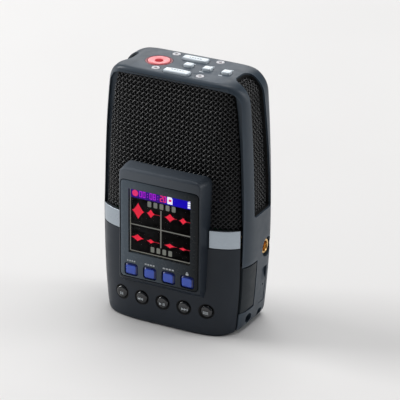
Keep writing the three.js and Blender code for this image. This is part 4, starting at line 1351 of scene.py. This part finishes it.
def build_transport_keys():
    for node, marks in zip(TRANSPORT_NODES, pictograms()):
        x, _, z = middle(node)
        y = front_surface(x, z)
        back = span(node)[1][1]
        flange, stem, corner = 3.9, 1.2, KEY_RADIUS - CROWN_RADIUS
        crown = [(r, y - CROWN_SINK + CROWN_CURVE * r**2) for r in (CROWN_RADIUS * i / 5 for i in range(6))]
        shoulder = [(CROWN_RADIUS + corner * math.sin(a), y + 0.52 - corner * math.cos(a))
                    for a in map(math.radians, range(15, 91, 15))]
        profile = crown + shoulder + [
            (KEY_RADIUS, y + 1.6), (flange, y + 1.6), (flange, y + 2.4),
            (stem, y + 2.4), (stem, back), (0, back),
        ]
        body = BODY_OF[node]
        key = turned("y", x, z, profile)
        place(key, node.replace("button", "key"), body, "dark_key", [node])

        def point(u, v, side):
            px, pz = x + u * MARK_WIDER, z + v * MARK_TALLER - MARK_DROP
            return (px, dome_depth(x, y, z, px, pz) - (MARK_LIFT, -MARK_LIFT)[side], pz)

        place(plates("mark", marks, point), node.replace("button", "mark"), body, "pale_print")


def build_record_key():
    """The key and its hollow middle, the deep red spot in it, and the ring round it."""
    x, y, _ = middle("record_button")
    radius, under, flange, foot = RECORD_RADIUS, HEIGHT - WALL, 6.2, 1.6
    profile = [
        (0, under - 2.8), (foot, under - 2.8), (foot, under - 1.2), (flange, under - 1.2),
        (flange, under - 0.4), (radius - 0.15, under - 0.4), (radius - 0.15, HEIGHT),
        (radius - 0.25, HEIGHT + 0.2), (radius - 0.5, HEIGHT + 0.3), (radius - 0.9, HEIGHT + 0.32),
        (3, HEIGHT + 0.2), (2.0, HEIGHT + 0.08), (1.8, HEIGHT + 0.02), (0, HEIGHT + 0.02),
    ]
    key = turned("z", x, y, profile, 80)
    place(key, "record_key", "record_key", "record_key", ["record_button"])
    spot = [
        (0, HEIGHT - 0.3), (1.7, HEIGHT - 0.3), (1.7, HEIGHT + 0.08),
        (1.5, HEIGHT + 0.14), (0, HEIGHT + 0.16),
    ]
    place(turned("z", x, y, spot, 48), "record_spot", "record_key", "record_spot")
    low, inner, outer = under + 0.1, radius + 0.05, RECORD_HOLE - 0.1
    ring = [
        (inner, low), (outer, low), (outer, HEIGHT - 0.05), (outer - 0.1, HEIGHT + 0.03),
        (inner + 0.1, HEIGHT - 0.1), (inner, HEIGHT - 0.25), (inner, low),
    ]
    # The ring's dark red is painted shade, tinted by the key's red light.
    place(turned("z", x, y, ring, 80), "record_collar", "case", "record_ring", ["record_ring"])


def place_cap(node, outline, worn_edge):
    """A white key with straight sides. The worn edge lists how far it shrinks, and how far below the top."""
    levels = [(HEIGHT - WALL - 1.1, outline(0.0))]
    levels += [(HEIGHT + KEY_RISE - drop, outline(shrink)) for shrink, drop in worn_edge]
    place(stack("z", levels), node.replace("button", "cap"), BODY_OF[node], "white_key", [node])


def build_top_keys():
    for node, towards in (("front_mic_button", 1), ("rear_mic_button", -1)):
        outline = functools.partial(wide_outline, node, towards)
        place_cap(node, outline, ((0.0, 0.45), (0.06, 0.2), (0.22, 0.05), (0.5, 0.0)))
        x, y, _ = middle(node)
        marks = [rounded(0.42, y - 0.35, y + 0.35, 0.1, x + 1.2 * i, 2) for i in (-2, -1, 0, 1, 2)]
        flat_marks(node.replace("button", "print"), marks, HEIGHT + KEY_RISE, BODY_OF[node])
    for node in PATTERN_NODES:
        outline = functools.partial(small_key_outline, node)
        place_cap(node, outline, ((0.0, 0.4), (0.06, 0.18), (0.2, 0.05), (0.45, 0.0)))


def build_indicators():
    under = HEIGHT - WALL
    for node in INDICATOR_NODES:
        x, y, _ = middle(node)
        ring = [
            (0.62, under), (1.72, under), (1.72, HEIGHT), (1.62, HEIGHT + 0.09),
            (0.8, HEIGHT + 0.09), (0.62, HEIGHT), (0.62, under),
        ]
        place(turned("z", x, y, ring, 40), node + "_ring", "case", "indicator_ring", [node])
        core = [(0, under), (0.61, under), (0.61, HEIGHT - 0.2), (0.4, HEIGHT - 0.12), (0, HEIGHT - 0.1)]
        place(turned("z", x, y, core, 32), node + "_core", "case", "indicator_core")


def flat_marks(name, outlines, z, body, material="key_print"):
    """Thin printed shapes on an upward face."""
    lifts = (0.02, -0.06)

    def point(u, v, side):
        return (u, v, z + lifts[side])

    place(plates(name, outlines, point), name, body, material)


def build_top_marks():
    """Short pale strokes beside the small keys."""
    marks = []
    for node in PATTERN_NODES[1:]:
        x, y, _ = middle(node)
        marks.append(rounded(0.9, y - 3.6, y - 3.25, 0.1, x - 1.2, 2))
        marks.append(rounded(0.22, y + 2.4, y + 4.0, 0.1, x + 0.4, 2))
        marks.append(rounded(0.75, y + 3.6, y + 4.0, 0.1, x + 0.4, 2))
    x, y, _ = middle(PATTERN_NODES[0])
    marks.append(rounded(0.8, y + 2.5, y + 2.9, 0.1, x + 0.8, 2))
    flat_marks("top_marks", marks, HEIGHT, "case", "white_key")


# ---- sides ----
def build_card_door():
    low, high = span("card_door")
    hinge_z = low[2] + 1.45
    near, far = low[1] + 0.3, high[1] - 0.45
    panel = block((SIDE_INNER, FAR), (near, far), (hinge_z, high[2] - 0.25))
    roll = rod("y", 31, hinge_z, 1.45, near, far, 40)
    door = common(shell(0, 1.7), join(panel, roll))
    ease(door, 0.18)
    place(door, "door_panel", "door", "door_plastic", ["card_door"])


def build_rocker():
    low, high = span("volume_rocker")
    bar = common(shell(0.1, 2), block((SIDE_INNER, FAR), (low[1], high[1]), (low[2], high[2])))
    centre = (low[2] + high[2]) / 2
    y = (low[1] + high[1]) / 2
    scoops = [rod("y", 40.9, centre + side * 5.6, 8.7, 0, FAR, 96) for side in (-1, 1)]
    pip = rod("x", y, centre, 0.42, high[0] - 0.6, FAR, 24)
    cut(bar, *scoops, pip)
    ease(bar, 0.15)
    place(bar, "rocker_bar", "rocker", "case_plastic", ["volume_rocker"])


def build_power_switch():
    low, high = span("power_switch")
    _, y, z = (low + high) / 2
    outer = low[0]
    knob = stack("x", [
        (outer + 0.9, rounded(1.6, z - 3, z + 3, 0.5, y)),
        (outer + 0.45, rounded(1.6, z - 3, z + 3, 0.5, y)),
        (outer + 0.3, rounded(1.45, z - 2.85, z + 2.85, 0.45, y)),
    ])
    ribs = [prism("x", rounded(1.2, z + 2 * i - 0.35, z + 2 * i + 0.35, 0.3, y), outer, outer + 0.5)
            for i in (-1, 0, 1)]
    stem = block((outer + 0.7, high[0]), (y - 0.6, y + 0.6), (z - 1, z + 1))
    plate = block((high[0] - 0.7, high[0]), (y - 2.2, y + 2.2), (z - 3, z + 3))
    knob = join(knob, *ribs, stem, plate)
    place(knob, "switch_knob", "switch", "black_plastic", ["power_switch"])


def build_jacks():
    for side, node in ((1, "line_jack"), (-1, "phones_jack")):
        _, y, z = middle(node)
        outer = 32.8
        profile = [
            (0, 17.6), (2.3, 17.6), (2.3, 28.6), (3.1, 28.6), (3.1, outer - 0.3), (3.02, outer - 0.1),
            (2.85, outer), (2.4, outer), (2.2, outer - 0.15), (2.1, outer - 0.5), (1.8, outer - 2),
            (1.8, 18.6), (0, 18.6),
        ]
        bush = turned("x", y, z, [(r, side * s) for r, s in profile], 64)
        place(bush, node.replace("jack", "bush"), "case", "gold", [node])
        contact = [(0, 28.0), (1.74, 28.0), (1.74, 30.6), (0, 30.6)]
        plug = turned("x", y, z, [(r, side * s) for r, s in contact], 40)
        place(plug, node.replace("jack", "contact"), "case", "black_plastic")


def build_usb():
    low, high = span("usb_socket")
    y, z = (low[1] + high[1]) / 2, (low[2] + high[2]) / 2

    def oval(half_deep, half_tall):
        return rounded(half_deep, z - half_tall, z + half_tall, half_deep - 0.02, y, 10)

    hollow = prism("x", oval(1.3, 4.15), low[0] - 1, high[0] - 0.8)
    cup = cut(prism("x", oval(1.6, 4.45), low[0], high[0]), hollow)
    join(cup, prism("x", rounded(0.35, z - 3.3, z + 3.3, 0.15, y), low[0] + 0.8, high[0] - 0.4))
    place(cup, "usb_cup", "case", "steel", ["usb_socket"])


def build_fixings():
    for node in SCREW_NODES:
        x, y, _ = middle(node)
        low, high = span(node)
        head = [(0, low[2]), (1.3, low[2]), (1.75, low[2] + 0.25), (1.9, low[2] + 0.55), (1.9, low[2] + 1.2),
                (0.8, low[2] + 1.2)]
        thread = []
        pitch = 0.45
        at = low[2] + 1.6
        while at < high[2] - 0.6:
            thread += [(0.65, at), (0.8, at + pitch / 2)]
            at += pitch
        screw = turned("z", x, y, head + thread + [(0.6, high[2] - 0.2), (0, high[2])], 40)
        cut(screw, block((x - 1.1, x + 1.1), (y - 0.2, y + 0.2), (-1, low[2] + 0.6)),
            block((x - 0.2, x + 0.2), (y - 1.1, y + 1.1), (-1, low[2] + 0.6)))
        place(screw, node.replace("case_screw", "base_screw"), "case", "steel", [node])
    low, high = span("tripod_nut")
    x, y, _ = middle("tripod_nut")
    outer = (high[0] - low[0]) / 2
    thread = []
    pitch, at = 1.27, high[2]
    while at > low[2] + pitch:
        thread += [(3.1, at), (2.75, at - pitch / 2)]
        at -= pitch
    profile = [(3.2, low[2]), (outer, low[2] + 0.15), (outer, high[2]), *thread, (3.2, low[2])]
    place(turned("z", x, y, profile, 64), "tripod_insert", "case", "gold", ["tripod_nut"])


# ---- floor, light and camera ----
def build_camera():
    """A long lens from the front right and above, aimed by turning about the display."""
    turn, tilt, roll = 0.47753, 0.415135, 0.010410
    distance, right_shift, up_shift = 1004.09, 16.439, 10.885
    display = Vector((0, LENS_Y, middle("lcd_module")[2]))
    back = Vector((math.sin(turn) * math.cos(tilt), -math.cos(turn) * math.cos(tilt), math.sin(tilt)))
    level = Vector((math.cos(turn), math.sin(turn), 0))
    upright = back.cross(level)
    right = math.cos(roll) * level + math.sin(roll) * upright
    up = -math.sin(roll) * level + math.cos(roll) * upright
    position = (display + distance * back + right_shift * right + up_shift * up) * MM
    data = bpy.data.cameras.new("camera")
    data.lens = 225.0
    data.sensor_width = 36.0
    data.clip_end = 20
    camera = bpy.data.objects.new("camera", data)
    bpy.context.scene.collection.objects.link(camera)
    rotation = Matrix((right, up, back)).transposed().to_4x4()
    camera.matrix_world = Matrix.Translation(position) @ rotation
    bpy.context.scene.camera = camera


def area_light(name, position, size, power, colour=(1, 1, 1)):
    data = bpy.data.lights.new(name, "AREA")
    data.shape = "RECTANGLE"
    data.size, data.size_y = size
    data.energy = power
    data.color = colour
    light = bpy.data.objects.new(name, data)
    bpy.context.scene.collection.objects.link(light)
    light.location = position
    towards = Vector((0, 0, 0.05)) - Vector(position)
    light.rotation_euler = towards.to_track_quat("-Z", "Y").to_euler()


def build_stage():
    floor_mesh = bpy.data.meshes.new("floor")
    half = 3.0
    corners = [(-half, -half, 0), (half, -half, 0), (half, half, 0), (-half, half, 0)]
    floor_mesh.from_pydata(corners, [], [[0, 1, 2, 3]])
    floor = bpy.data.objects.new("floor", floor_mesh)
    bpy.context.scene.collection.objects.link(floor)
    n = Nodes("pale_floor")
    tone = n.mix(n.spread(n.noise(3.0), 0, 1), (0.78, 0.77, 0.76), (0.82, 0.81, 0.8))
    n.drive("Base Color", tone)
    n.fix("Roughness", 0.9)
    floor_mesh.materials.append(n.material)
    world = bpy.data.worlds.new("studio")
    bpy.context.scene.world = world
    world.use_nodes = True
    world.node_tree.nodes["Background"].inputs["Color"].default_value = (0.9, 0.93, 1.0, 1)
    world.node_tree.nodes["Background"].inputs["Strength"].default_value = 0.1
    area_light("left", (-1.4, -0.3, 0.8), (0.6, 0.9), 17)
    area_light("overhead", (0.0, 0.35, 1.6), (1.2, 1.2), 17)
    area_light("behind", (-0.75, 1.45, 0.75), (1.3, 0.8), 6)
    area_light("right", (1.35, 0.7, 0.5), (0.5, 0.9), 6)


build_camera()
build_stage()
build_case_frame()
build_front_shell()
build_bands()
build_battery_lid()
build_grilles()
build_foam()
build_lens()
build_display()
build_lens_marks()
build_function_keys()
build_key_collars()
build_transport_keys()
build_record_key()
build_top_keys()
build_indicators()
build_top_marks()
build_card_door()
build_rocker()
build_shade_linings()
build_power_switch()
build_jacks()
build_usb()
build_fixings()

bpy.context.scene.view_settings.view_transform = "Standard"
